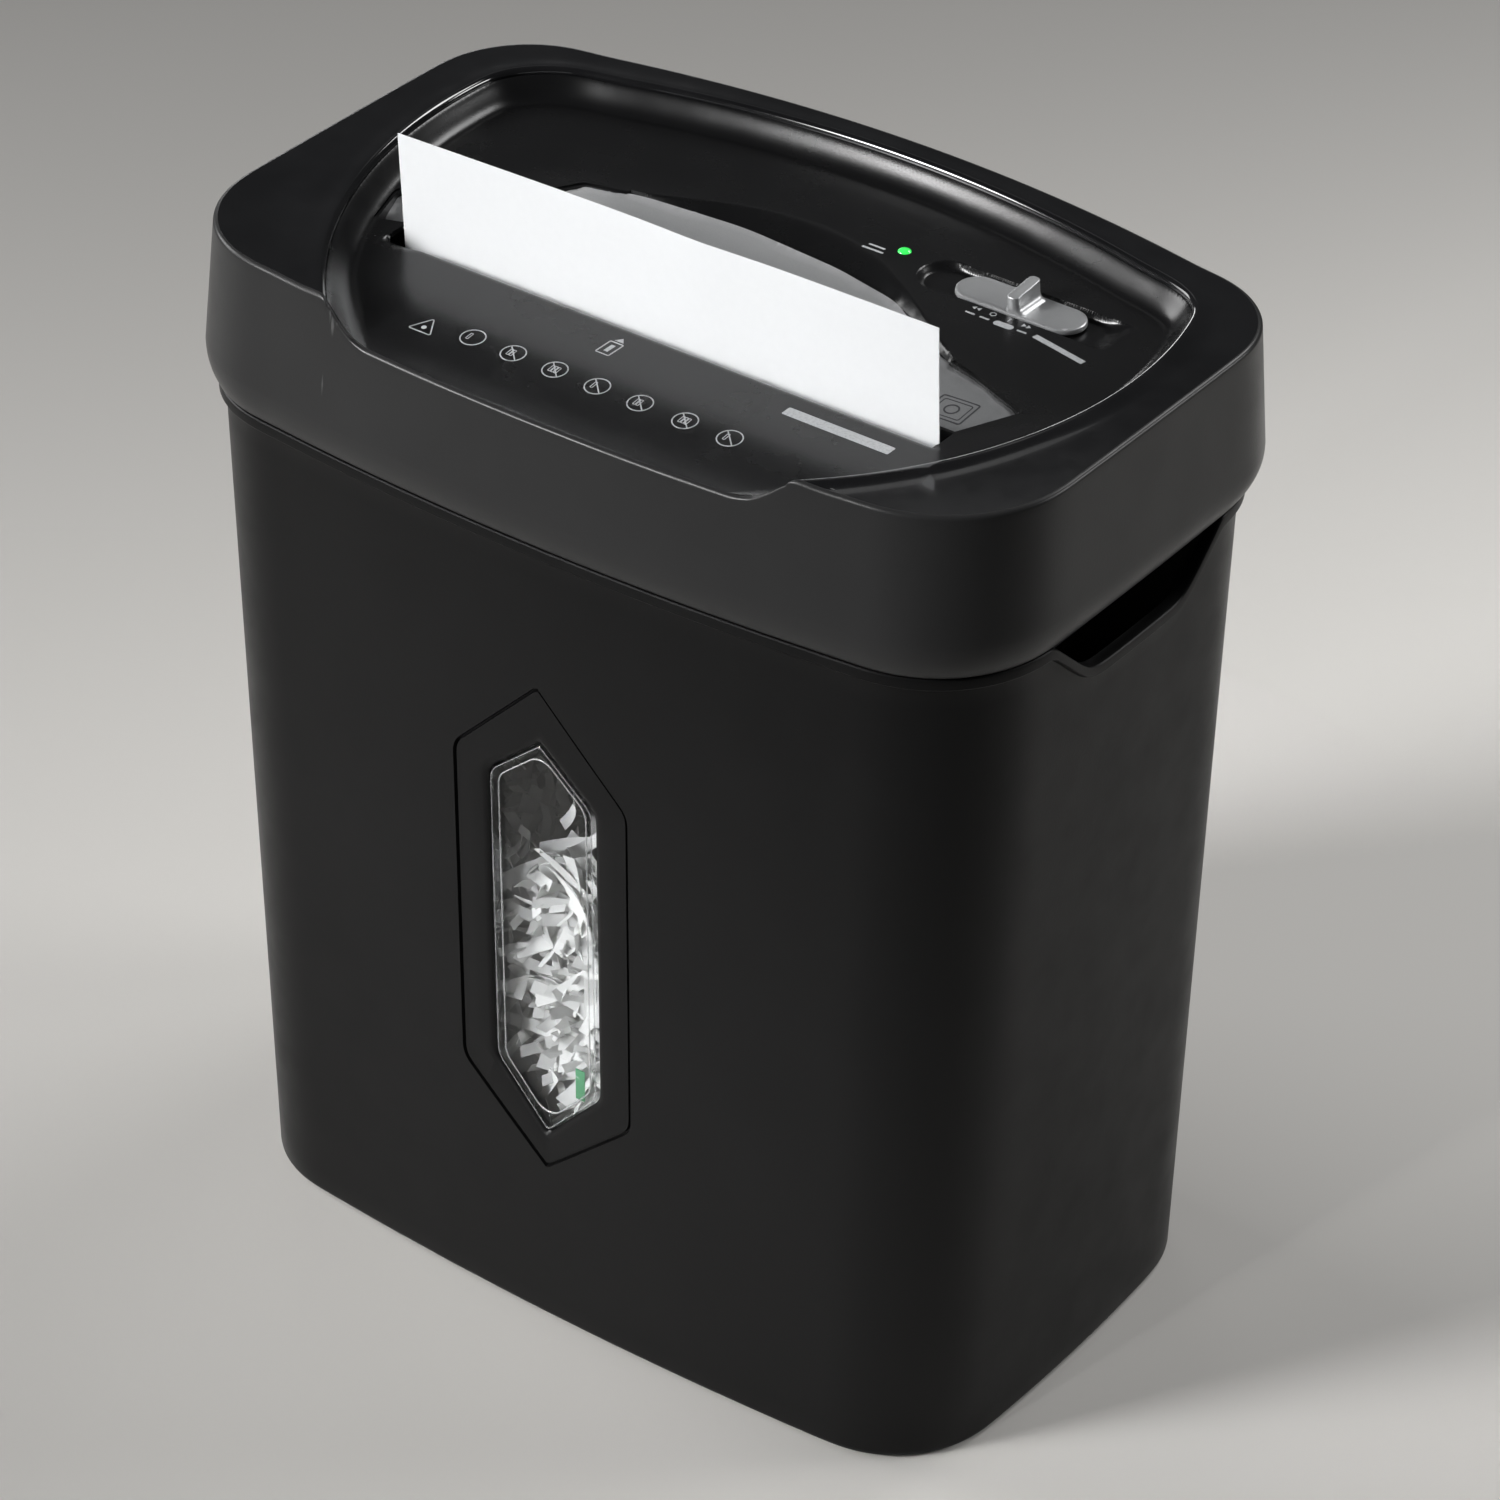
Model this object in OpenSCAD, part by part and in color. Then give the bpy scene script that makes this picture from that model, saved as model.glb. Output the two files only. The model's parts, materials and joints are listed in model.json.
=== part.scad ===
/* [Bin] */
// Half width of the bin at the floor
bin_half_w = 155; // [150:1:158]
// Half depth of the bin at the floor, at its corners
bin_half_d = 92.2; // [88:0.2:94]
// Height of the bin, up to the head
bin_h = 325; // [320:1:330]
// Thickness of the bin's moulded wall
bin_wall = 2.6; // [2:0.1:3.2]
// Half length of each handhold dip, along its mouth
dip_half_l = 49; // [44:1:52]
// Depth of each handhold dip
dip_depth = 20; // [16:1:22]

/* [Window] */
// Height of the window recess's lower point
recess_z0 = 68.5; // [60:0.5:80]
// Height of the window recess's upper point
recess_z1 = 268.9; // [260:0.5:275]
// Width of the window recess
recess_w = 72.6; // [66:0.2:78]
// Width of the clear opening
pane_w = 44.4; // [40:0.2:48]
// Sideways place of the window
window_x = -2.5; // [-6:0.5:6]

/* [Head] */
// Half width of the head's top edge
head_half_w = 165.2; // [163:0.1:167]
// Half depth of the head's top edge, at its corners
head_half_d = 93.2; // [92:0.1:95]
// Height of the head's top edge above the floor
head_top = 383.2; // [380:0.2:386]
// Bow of the head's top edge at the back
back_bow = 14.6; // [10:0.2:16]
// Bow of the head's top edge at the front
front_bow = 7.4; // [5:0.2:9]
// Height of the control panel's top face
panel_top = 374; // [373:0.1:375]
// Left end of the step where the panel runs out over the front edge
step_x0 = -88; // [-95:1:-80]
// Right end of that step
step_x1 = 93; // [85:1:100]

/* [Feed] */
// Width of the sheet being fed
sheet_w = 215.9; // [210:0.1:216]
// Height of the sheet's top edge above the floor
sheet_top = 413; // [400:1:450]
// Place of the sheet's plane, front to back
sheet_y = -34; // [-34.4:0.1:-33.6]
// Length of the slot in the control panel
slot_l = 224; // [222:1:226]
// Length of the feed throat under it
throat_l = 226; // [222:1:226]

/* [Cutters] */
// Distance between the two cutter shafts
shaft_gap = 32; // [31.8:0.1:32.4]
// Radius of the cutting discs
disc_r = 18; // [17.5:0.1:18]
// Radius of the shaft between the discs
core_r = 13; // [12:0.1:13]
// Number of cutting discs on each shaft
disc_n = 28; // [20:1:28]
// Thickness of one cutting disc
disc_t = 3.8; // [3:0.1:3.8]

/* [Controls] */
// Middle of the mode slider, sideways, in its automatic position
slider_x = 81.5; // [80:0.5:83]
// Middle of the mode slider, front to back
slider_y = 51.3; // [50:0.1:52]

/* [Hidden] */
$fn = 48;
e = 0.01;

// An outline is [half width, half depth, front corner radius, back corner radius,
// front bow, back bow, side bow]
corner_steps = 9;
bow_steps = 8;
side_steps = 3;
floor_outline = [bin_half_w, bin_half_d, 42.7, 42.7, 4.3, 4.3, 1.5];
bin_top_outline = [162.2, 92.8, 43.5, 43.5, 6.4, 6.4, 0.9];
flange_outline = [164.6, 95.1, 44.2, 44.2, 6.5, 6.5, 0.7];
head_foot_outline = [164, 94.6, 44.2, 43.5, 6.5, 7.5, 0.6];
head_belly_outline = [168.2, 97, 46.5, 42, 7, 10, 0.6];
head_top_outline = [head_half_w, head_half_d, 46.2, 39.5, front_bow, back_bow, 0.2];
rim_t = 3.4;
panel_t = 2.5;
shell_wall = 3;
flange_h = 4.5;

// Cutters, gears and motor lie on one level
shaft_z = 338;
front_y = sheet_y - shaft_gap / 2;
rear_y = sheet_y + shaft_gap / 2;
shaft_end_r = 6;
running = 0.05;
disc_pitch = 8;
plate_x = 114.5;
plate_t = 2;
bush_r = 8.5;
bush_in = 1.6;
core_x = plate_x - bush_in - 0.4;
front_start = -111.9;
rear_start = front_start + 4;
rod_r = 3.5;
rod_places = [[-75, 321], [-75, 355], [11, 319], [11, 357]];

// Gear teeth: [number of teeth, module]
cutter_teeth = [28, 1.5];
second_pinion_teeth = [12, 1.5];
second_wheel_teeth = [32, 1.25];
first_pinion_teeth = [10, 1.25];
first_wheel_teeth = [36, 1];
rotor_teeth = [10, 1];
timing_teeth = [16, shaft_gap / 16];
tooth_angle = 25;
tooth_out = 0.8;
tooth_in = 1.1;
backlash = 0.16;
second_y = rear_y + mesh_gap(cutter_teeth, second_pinion_teeth);
first_y = second_y + mesh_gap(second_wheel_teeth, first_pinion_teeth);
motor_y = first_y + mesh_gap(first_wheel_teeth, rotor_teeth);
// Outer faces of the three layers of gears, and where the first one starts
gear_x0 = -118;
layer_1 = -124.5;
layer_2 = -131;
layer_3 = -137;
axle_r = 3;
box_x = -140.4;
axle_x = layer_3 - 2;

// Motor
can_r = 22;
can_x0 = -112.5;
can_x1 = -48;
bell_x1 = -28;
rotor_shaft_r = 2.5;

// Underside tray of the head
tray_outline = [146, 84, 20, 20, 3, 3, 0.3];
tray_z = 303;
tray_t = 2.5;
lip_z = 326.2;

// Height of the hole for the mains lead, in the back wall
lead_z = 349;

// Feed slot: its front and back edges
slot_y0 = sheet_y - 4.8;
slot_y1 = sheet_y + 4.6;
guide_z0 = 366.5;
throat_z = 357.2;

// Mode slider and its pocket
pocket_x0 = 42.6;
pocket_x1 = 121;
pocket_w = 18.6;
slider_l = 49;
slider_w = 16;
pocket_floor = 370.4;

// Safety interlock at the back
lock_x = 60;
lock_y = 91;
lock_rib_z = 318;
led_place = [31.4, 56.5];

// Places of the screws that hold the underside tray
base_screw_places = [[-150, -64], [150, -64], [-150, 64], [150, 64], [0, -92.2], [0, 92.2]];
panel_screw_places = [[-148, -30], [148, -30], [-100, 82], [100, 82]];
gearbox_screw_places = [[-37, 316.5], [-37, 359.5], [66, 316.5], [66, 359.5]];

function mesh_gap(a, b) = (a[0] * a[1] + b[0] * b[1]) / 2;

function blend(a, b, t) = [for (i = [0:len(a) - 1]) a[i] + (b[i] - a[i]) * t];
function inset(o, d) = [o[0] - d, o[1] - d, max(o[2] - d, 1), max(o[3] - d, 1), o[4], o[5], o[6]];
function bowed(p, q, out, bow, n) =
    [for (i = [0:n - 1]) let (t = i / n) p + (q - p) * t + out * 4 * t * (1 - t) * bow];
function corner(c, r, a) =
    [for (i = [0:corner_steps - 1]) let (t = a + 90 * i / corner_steps) c + r * [cos(t), sin(t)]];

// The outline's points, anticlockwise from the front left corner
function ring(o) = let (a = o[0], b = o[1], f = o[2], k = o[3]) concat(
    bowed([f - a, -b], [a - f, -b], [0, -1], o[4], bow_steps),
    corner([a - f, f - b], f, -90),
    bowed([a, f - b], [a, b - k], [1, 0], o[6], side_steps),
    corner([a - k, b - k], k, 0),
    bowed([a - k, b], [k - a, b], [0, 1], o[5], bow_steps),
    corner([k - a, b - k], k, 90),
    bowed([-a, b - k], [-a, f - b], [-1, 0], o[6], side_steps),
    corner([f - a, f - b], f, 180));

// Solid through a list of [height, outline] levels
module loft(levels) {
    rings = [for (l = levels) [for (p = ring(l[1])) [p.x, p.y, l[0]]]];
    n = len(rings[0]);
    last = len(levels) - 1;
    sides = [for (k = [0:last - 1], i = [0:n - 1]) let (j = (i + 1) % n)
        [k * n + i, (k + 1) * n + i, (k + 1) * n + j, k * n + j]];
    foot = [for (i = [0:n - 1]) i];
    top = [for (i = [n - 1:-1:0]) last * n + i];
    polyhedron([for (r = rings) each r], concat(sides, [foot], [top]), convexity = 8);
}

module plate(o, z0, z1) {
    translate([0, 0, z0]) linear_extrude(z1 - z0) polygon(ring(o));
}

// Puts a shape drawn in X and Y onto an axis that runs along X
module on_x(y, z, x = 0) {
    translate([x, y, z]) rotate([90, 0, 90]) children();
}

module rod_x(x0, x1, y, z, r) {
    on_x(y, z, x0) cylinder(h = x1 - x0, r = r);
}

module box(lo, hi) {
    translate(lo) cube(hi - lo);
}

// Round wire of radius r through a list of points, with eight sides
module wire(points, r) {
    n = 8;
    last = len(points) - 1;
    rings = [for (i = [0:last])
        let (d = points[min(i + 1, last)] - points[max(i - 1, 0)], w = d / norm(d),
            u = cross(w, abs(w.z) < 0.9 ? [0, 0, 1] : [0, 1, 0]), v = cross(u, w) / norm(u))
        [for (k = [0:n - 1]) points[i] + r * (u / norm(u) * cos(360 * k / n) + v * sin(360 * k / n))]];
    sides = [for (k = [0:last - 1], i = [0:n - 1]) let (j = (i + 1) % n)
        [k * n + i, k * n + j, (k + 1) * n + j, (k + 1) * n + i]];
    polyhedron([for (q = rings) each q],
        concat(sides, [[for (i = [n - 1:-1:0]) i]], [[for (i = [0:n - 1]) last * n + i]]));
}

// Screw with a round head above the point p, pointing down
module screw(p, l, r = 1.5, head_r = 3) {
    translate(p) {
        translate([0, 0, -l]) cylinder(h = l + e, r = r);
        difference() {
            cylinder(h = 2, r = head_r);
            for (a = [0, 90]) translate([0, 0, 1.6]) rotate(a) cube([head_r * 1.1, 0.7, 1.2], center = true);
        }
    }
}

// ---- Gear teeth: true involute flanks ----
function involute(r, base) = let (t = sqrt(max(r * r / (base * base) - 1, 0))) t * 180 / PI - atan(t);
function half_tooth(r, base, pitch_r, m) =
    (PI * m - backlash) / 4 / pitch_r * 180 / PI + involute(pitch_r, base) - involute(max(r, base), base);
function gear_points(t, phase) =
    let (pitch_r = t[0] * t[1] / 2, base = pitch_r * cos(tooth_angle), tip = pitch_r + tooth_out * t[1],
        root = pitch_r - tooth_in * t[1], low = max(base, root), steps = [low, (low + tip) / 2, tip],
        radii = root < base ? concat([root], steps) : steps, last = len(radii) - 1)
    [for (k = [0:t[0] - 1], side = [-1, 1], i = [0:last])
        let (r = radii[side < 0 ? i : last - i],
            a = phase + 360 * k / t[0] + side * half_tooth(r, base, pitch_r, t[1]))
        r * [cos(a), sin(a)]];

// Phase of a gear that meshes with another one of phase p, which lies in direction d from it
function mesh_phase(from, p, to, d) = d + 180 - (p - d) * from[0] / to[0] - 180 / to[0];

module gear_x(t, phase, y, x0, x1) {
    on_x(y, shaft_z, x0) linear_extrude(x1 - x0) polygon(gear_points(t, phase));
}

cutter_phase = 0;
second_pinion_phase = mesh_phase(cutter_teeth, cutter_phase, second_pinion_teeth, 0);
second_wheel_phase = second_pinion_phase;
first_pinion_phase = mesh_phase(second_wheel_teeth, second_wheel_phase, first_pinion_teeth, 0);
first_wheel_phase = first_pinion_phase;
rotor_phase = mesh_phase(first_wheel_teeth, first_wheel_phase, rotor_teeth, 0);
front_timing_phase = 0;
rear_timing_phase = mesh_phase(timing_teeth, front_timing_phase, timing_teeth, 0);

// ---- Bin ----
// Hexagon with points above and below, in X and Z, from y0 to y1
module hexagon(w, z0, z1, slopes, y0, y1) {
    low = z0 + slopes[0] * w / 2;
    high = z1 - slopes[1] * w / 2;
    translate([0, y1, 0]) rotate([90, 0, 0]) linear_extrude(y1 - y0)
        polygon([[0, z0], [w / 2, low], [w / 2, high], [0, z1], [-w / 2, high], [-w / 2, low]]);
}

front_low = -(bin_half_d + 4.3);
front_high = -(92.8 + 6.4);
// Leans a shape drawn in front of the plane y = 0 onto the bin's tapered front face
module on_front() {
    translate([window_x, front_low, 0]) rotate([atan((front_low - front_high) / bin_h), 0, 0]) children();
}
pane_z0 = recess_z0 + 14.5;
pane_z1 = recess_z1 - 22.5;
recess_slopes = [0.9, 1];
pane_slopes = [1.1, 0.85];
recess_d = 1.4;

module dip(side) {
    low = bin_h - dip_depth;
    rise = dip_depth * 1.2;
    flat = dip_half_l - rise;
    translate([side * (bin_half_w - 12), 0, 0]) rotate([90, 0, 90]) translate([0, 0, side < 0 ? -30 : 0])
        linear_extrude(30) polygon([[-flat, low], [flat, low], [flat + rise * 0.35, low + 3.5],
            [dip_half_l, bin_h], [dip_half_l, bin_h + 5], [-dip_half_l, bin_h + 5], [-dip_half_l, bin_h],
            [-flat - rise * 0.35, low + 3.5]]);
}

module bin_shell() {
    color([0.03, 0.03, 0.032]) difference() {
        loft([[0, inset(floor_outline, 3)], [0.9, inset(floor_outline, 1)], [3, floor_outline],
            [bin_h - flange_h - 1, bin_top_outline], [bin_h - flange_h, flange_outline],
            [bin_h, flange_outline]]);
        loft([[3, inset(floor_outline, bin_wall + 1.5)], [5, inset(floor_outline, bin_wall)],
            [bin_h - 8, inset(bin_top_outline, bin_wall)], [bin_h - 2, inset(bin_top_outline, bin_wall)],
            [bin_h + 1, inset(bin_top_outline, bin_wall)]]);
        dip(-1);
        dip(1);
        on_front() {
            hexagon(pane_w, pane_z0, pane_z1, pane_slopes, -4, 6);
            hexagon(recess_w, recess_z0, recess_z1, recess_slopes, -4, recess_d);
        }
    }
    // Rib that presses the safety interlock
    color([0.03, 0.03, 0.032]) box([lock_x - 3, lock_y - 3, 250], [lock_x + 3, 96.5, lock_rib_z]);
}

// Clear pane behind the bin's wall, with a flange that is clipped to it
module bin_window() {
    color([0.8, 0.85, 0.88, 0.35]) on_front() difference() {
        union() {
            hexagon(pane_w + 12, pane_z0 - 7, pane_z1 + 7, pane_slopes, 3.2, 4.8);
            hexagon(pane_w - 0.6, pane_z0 + 0.4, pane_z1 - 0.4, pane_slopes, 0.4, 4.8);
        }
        hexagon(pane_w - 4, pane_z0 + 3, pane_z1 - 3, pane_slopes, 2, 5);
    }
}

// Crust of the loose pile of shreds, open below
module paper_shreds() {
    color([0.92, 0.92, 0.9]) difference() {
        loft([[4, [140, 74, 34, 34, 2, 2, 0]], [60, [142, 76, 34, 34, 3, 3, 0]],
            [150, [144, 76, 34, 34, 3, 3, 0]], [172, [120, 62, 40, 40, 3, 3, 0]]]);
        loft([[3, [138, 72, 34, 34, 2, 2, 0]], [60, [140, 74, 34, 34, 3, 3, 0]],
            [148, [142, 74, 34, 34, 3, 3, 0]], [170, [118, 60, 40, 40, 3, 3, 0]]]);
    }
}

// ---- Head covers ----
module step_band(y0, y1, z0, z1) {
    box([step_x0, y0, z0], [step_x1, y1, z1]);
}

shell_top = head_top - rim_t;
panel_z = panel_top - panel_t;
boss_h = 9;
well_half_w = 146;
left_arc = [51.4, 40.7, 195.6]; // centre and radius of the well's left side
right_arc = [-8.5, 18.3, 153.6];

module head_shell() {
    color([0.09, 0.09, 0.095]) difference() {
        union() {
            difference() {
                loft([[bin_h + 0.2, head_foot_outline],
                    [bin_h + 4, blend(head_foot_outline, head_belly_outline, 0.65)],
                    [bin_h + 12, head_belly_outline],
                    [shell_top, blend(head_belly_outline, head_top_outline, 0.95)]]);
                loft([[bin_h - 1, inset(head_foot_outline, shell_wall)],
                    [bin_h + 12, inset(head_belly_outline, shell_wall)],
                    [panel_z - 4, inset(head_top_outline, shell_wall)],
                    [panel_z - 3, inset(head_top_outline, 12)], [panel_z - e, inset(head_top_outline, 12)],
                    [panel_z, inset(head_top_outline, shell_wall)],
                    [head_top, inset(head_top_outline, shell_wall)]]);
            }
            intersection() {
                loft([[bin_h + 0.2, head_foot_outline], [bin_h + 12, head_belly_outline],
                    [shell_top, head_top_outline]]);
                for (p = base_screw_places) translate([p.x, p.y, lip_z + 2.6]) {
                    cylinder(h = boss_h, r = 4.5);
                    rotate(abs(p.x) < 1 ? (p.y < 0 ? -90 : 90) : (p.x < 0 ? 180 : 0))
                        translate([0, -1.2, 0]) cube([30, 2.4, boss_h]);
                }
            }
        }
        for (p = base_screw_places) translate([p.x, p.y, lip_z]) cylinder(h = 12, r = 1.5);
        step_band(-130, -70, panel_z, head_top + 1);
        translate([0, 90, lead_z]) rotate([-90, 0, 0]) cylinder(h = 30, r = 7.5);
    }
}

// Inside of the rim: wide at the back, drawn in by two large arcs towards the front step
module well(z0, z1, d) {
    translate([0, 0, z0]) intersection() {
        translate([0, -15, 0]) linear_extrude(z1 - z0)
            polygon(ring([well_half_w + d, 95 + d, 60, 34 + d, 1, 16.5, 0.5]));
        intersection_for(arc = [left_arc, right_arc])
            translate([arc[0], arc[1], 0]) cylinder(h = z1 - z0, r = arc[2] + d, $fn = 96);
    }
}

module top_rim() {
    color([0.015, 0.015, 0.017]) difference() {
        union() {
            plate(head_top_outline, shell_top, head_top);
            intersection() {
                well(panel_top, shell_top + e, 2.4);
                plate(inset(head_top_outline, shell_wall + 0.2), panel_top, shell_top + e);
            }
        }
        well(panel_top - 1, head_top + 1, 0);
        step_band(-130, -40, panel_z, head_top + 1);
    }
}

module guide_shape(d) {
    offset(delta = d) polygon([[-112, slot_y1], [-119, -33.5], [-128, -12], [-88, 20], [-82, 30], [-60, 35],
        [-20, 37.8], [20, 34.6], [47.5, 29], [62, 20], [78, 10.5], [97, 4.6], [122, -5.3],
        [112, slot_y1]]);
}

module stadium(x0, x1, y, w, z0, z1) {
    for (x = [x0 + w / 2, x1 - w / 2]) translate([x, y, z0]) cylinder(h = z1 - z0, r = w / 2);
    box([x0 + w / 2, y - w / 2, z0], [x1 - w / 2, y + w / 2, z1]);
}

module top_panel() {
    color([0.045, 0.045, 0.05]) difference() {
        union() {
            difference() {
                intersection() {
                    plate(head_top_outline, panel_z, panel_top);
                    union() {
                        plate(inset(head_top_outline, shell_wall + 0.3), panel_z, panel_top);
                        step_band(-130, -60, panel_z, panel_top);
                    }
                }
                box([-slot_l / 2, slot_y0, panel_z - 1], [slot_l / 2, slot_y1, panel_top + 1]);
                translate([0, 0, panel_z - 1]) linear_extrude(panel_t + 2) guide_shape(0.3);
                stadium(pocket_x0, pocket_x1, slider_y, pocket_w, panel_z - 1, panel_top + 1);
            }
            difference() {
                stadium(pocket_x0 - 1.6, pocket_x1 + 1.6, slider_y, pocket_w + 3.2, pocket_floor - 2, panel_top);
                stadium(pocket_x0, pocket_x1, slider_y, pocket_w, pocket_floor, panel_top + 1);
                box([slider_x - 16, slider_y - 2, pocket_floor - 3],
                    [slider_x + 9, slider_y + 2, pocket_floor + 1]);
            }
            for (p = panel_screw_places) translate([p.x, p.y, panel_z - 8]) cylinder(h = 8 + e, r = 3.5);
        }
        for (p = panel_screw_places) translate([p.x, p.y, panel_z - 9]) cylinder(h = 7, r = 1.3);
        translate([led_place.x, led_place.y, panel_z - 1]) cylinder(h = panel_t + 2, r = 2.5);
    }
}

module paper_guide() {
    slope = atan((panel_top - guide_z0) / (38 - slot_y1));
    color([0.55, 0.56, 0.58]) intersection() {
        translate([0, 0, guide_z0 - 10]) linear_extrude(30) guide_shape(0);
        translate([-150, slot_y1, guide_z0]) rotate([slope, 0, 0]) translate([0, -5, -2]) cube([300, 90, 2]);
    }
}

module head_base() {
    color([0.07, 0.07, 0.075]) difference() {
        plate(inset(head_foot_outline, shell_wall + 0.6), lip_z, lip_z + tray_t);
        plate(tray_outline, lip_z - 1, lip_z + 5);
        for (p = base_screw_places) translate([p.x, p.y, lip_z - 1]) cylinder(h = 5, r = 1.7);
        translate([lock_x, lock_y, lip_z - 1]) cylinder(h = 5, r = 2.3);
    }
}

// Tub that hangs in the bin's mouth and holds the cutting unit, open over the bin below the cutters
module cutter_tray() {
    color([0.07, 0.07, 0.075]) difference() {
        union() {
            difference() {
                plate(tray_outline, tray_z, lip_z + tray_t);
                plate(inset(tray_outline, tray_t), tray_z + tray_t, lip_z + 5);
            }
            difference() {
                box([-115, -73, tray_z], [115, 6, tray_z + 10]);
                box([-113, -71, tray_z - 1], [113, 4, tray_z + 11]);
            }
        }
        box([-113, -71, tray_z - 1], [113, 4, tray_z + tray_t + 1]);
        for (x = [-105:8:-33]) box([x, 45, tray_z - 1], [x + 3, 76, tray_z + tray_t + 1]);
    }
}

module feed_throat() {
    color([0.06, 0.06, 0.065]) difference() {
        union() {
            box([-throat_l / 2 - 1.3, slot_y0 - 2, throat_z], [throat_l / 2 + 1.3, slot_y1 + 2, guide_z0 - 2.2]);
            box([-throat_l / 2 - 1.3, slot_y0 - 2, throat_z], [throat_l / 2 + 1.3, slot_y0, panel_z]);
        }
        box([-throat_l / 2, slot_y0, throat_z - 1], [throat_l / 2, slot_y1, guide_z0]);
        for (y = [slot_y0 - 3, slot_y1 - 1]) box([-3, y, 359], [3, y + 4, 362.2]);
    }
}

// Infra-red pair that sees the sheet arrive
module paper_sensors() {
    color([0.12, 0.05, 0.06]) for (side = [-1, 1]) {
        y = side < 0 ? slot_y0 - 2 : slot_y1 + 2;
        translate([0, y + side * 3.3, 360.6]) cube([10, 6, 7], center = true);
        translate([0, y, 360.6]) rotate([side * 90, 0, 0]) translate([0, 0, side < 0 ? -0.4 : -0.4])
            cylinder(h = 1.6, r = 1.5);
    }
}

module status_led() {
    color([0.1, 0.85, 0.2]) translate([led_place.x, led_place.y, 0]) {
        translate([0, 0, panel_z - 5]) cylinder(h = 5, r = 3.2);
        translate([0, 0, panel_z - e]) cylinder(h = panel_t + 0.4, r = 2.4);
    }
}

// ---- Controls ----
module mode_slider() {
    fin_x = slider_x + 0.8;
    color([0.72, 0.73, 0.75]) {
        stadium(slider_x - slider_l / 2, slider_x + slider_l / 2, slider_y, slider_w,
            pocket_floor + 0.3, pocket_floor + 3.6);
        box([fin_x - 2.6, slider_y - 7.6, pocket_floor + 3], [fin_x + 2.6, slider_y + 7.6, panel_top + 6.5]);
        box([slider_x - 1.5, slider_y - 1.6, pocket_floor - 5], [slider_x + 1.5, slider_y + 1.6, pocket_floor + 1]);
    }
}

module mode_switch() {
    color([0.05, 0.05, 0.05]) difference() {
        box([slider_x - 24, slider_y - 8, 348], [slider_x + 20, slider_y + 8, pocket_floor - 2.1]);
        box([slider_x - 17, slider_y - 2.2, pocket_floor - 6], [slider_x + 10, slider_y + 2.2, pocket_floor]);
    }
    color([0.75, 0.6, 0.3]) for (i = [0:3])
        box([slider_x - 18 + i * 9, slider_y - 1.5, 343], [slider_x - 17 + i * 9, slider_y + 1.5, 348 + e]);
}

board_lo = [22, 22, 316];
board_hi = [112, 74, 317.6];
board_posts = [[26, 26], [108, 26], [26, 70], [108, 70]];

module circuit_board() {
    color([0.05, 0.3, 0.15]) difference() {
        box(board_lo, board_hi);
        for (p = board_posts) translate([p.x, p.y, board_lo.z - 1]) cylinder(h = 4, r = 1.6);
    }
    color([0.07, 0.07, 0.075]) for (p = board_posts) difference() {
        translate([p.x, p.y, tray_z + tray_t]) cylinder(h = board_lo.z - tray_z - tray_t, r = 3);
        translate([p.x, p.y, board_lo.z - 6]) cylinder(h = 7, r = 1.2);
    }
}

module board_parts() {
    z = board_hi.z;
    color([0.1, 0.2, 0.5]) box([32, 30, z], [51, 45, z + 16]);
    color([0.1, 0.1, 0.1]) for (x = [62, 76]) translate([x, 38, z]) cylinder(h = 20, r = 5);
    color([0.85, 0.75, 0.2]) box([84, 30, z], [106, 44, z + 13]);
    color([0.75, 0.75, 0.75]) box([84, 47.5, z], [106, 50.5, z + 18]);
    color([0.9, 0.9, 0.88]) box([66, 54, z], [96, 62, z + 9]);
}

module interlock_switch() {
    color([0.05, 0.05, 0.05]) difference() {
        box([lock_x - 10, lock_y - 4.5, lip_z + tray_t], [lock_x + 10, lock_y + 3.5, lip_z + tray_t + 16]);
        translate([lock_x, lock_y, lip_z]) cylinder(h = 13, r = 2.1);
    }
}

module interlock_plunger() {
    color([0.85, 0.2, 0.15]) translate([lock_x, lock_y, lock_rib_z + 0.3]) cylinder(h = 17, r = 2);
}

// Ring that lines the lead's hole in the back wall
module cord_grommet() {
    color([0.04, 0.04, 0.04]) translate([0, 0, lead_z]) rotate([-90, 0, 0]) difference() {
        union() {
            translate([0, 0, 98.2]) cylinder(h = 11, r = 7.4);
            translate([0, 0, 97.4]) cylinder(h = 2.2, r = 10);
        }
        translate([0, 0, 90]) cylinder(h = 30, r = 3.8);
    }
}

// ---- Cutting unit ----
module side_plate(x, y1) {
    color([0.6, 0.61, 0.63]) difference() {
        box([x, -79, 313], [x + plate_t, y1, 362]);
        for (y = [front_y, rear_y]) rod_x(x - 1, x + 3, y, shaft_z, bush_r);
        for (p = rod_places) rod_x(x - 1, x + 3, p.x, p.y, rod_r - 1);
        children();
    }
}

module left_side_plate() {
    side_plate(-plate_x - plate_t, 80) {
        for (y = [second_y, first_y]) rod_x(-120, -110, y, shaft_z, axle_r);
        rod_x(-120, -110, motor_y, shaft_z, 6);
        for (p = gearbox_screw_places) rod_x(-120, -110, p.x, p.y, 1.5);
        for (z = [shaft_z - 15, shaft_z + 15]) rod_x(-120, -110, motor_y, z, 1.7);
    }
}

module right_side_plate() {
    side_plate(plate_x, 20);
}

module tie_rods() {
    color([0.7, 0.7, 0.72]) for (p = rod_places) {
        rod_x(-plate_x, plate_x, p.x, p.y, rod_r);
        rod_x(-plate_x - plate_t, plate_x + plate_t, p.x, p.y, rod_r - 1);
    }
}

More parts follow.
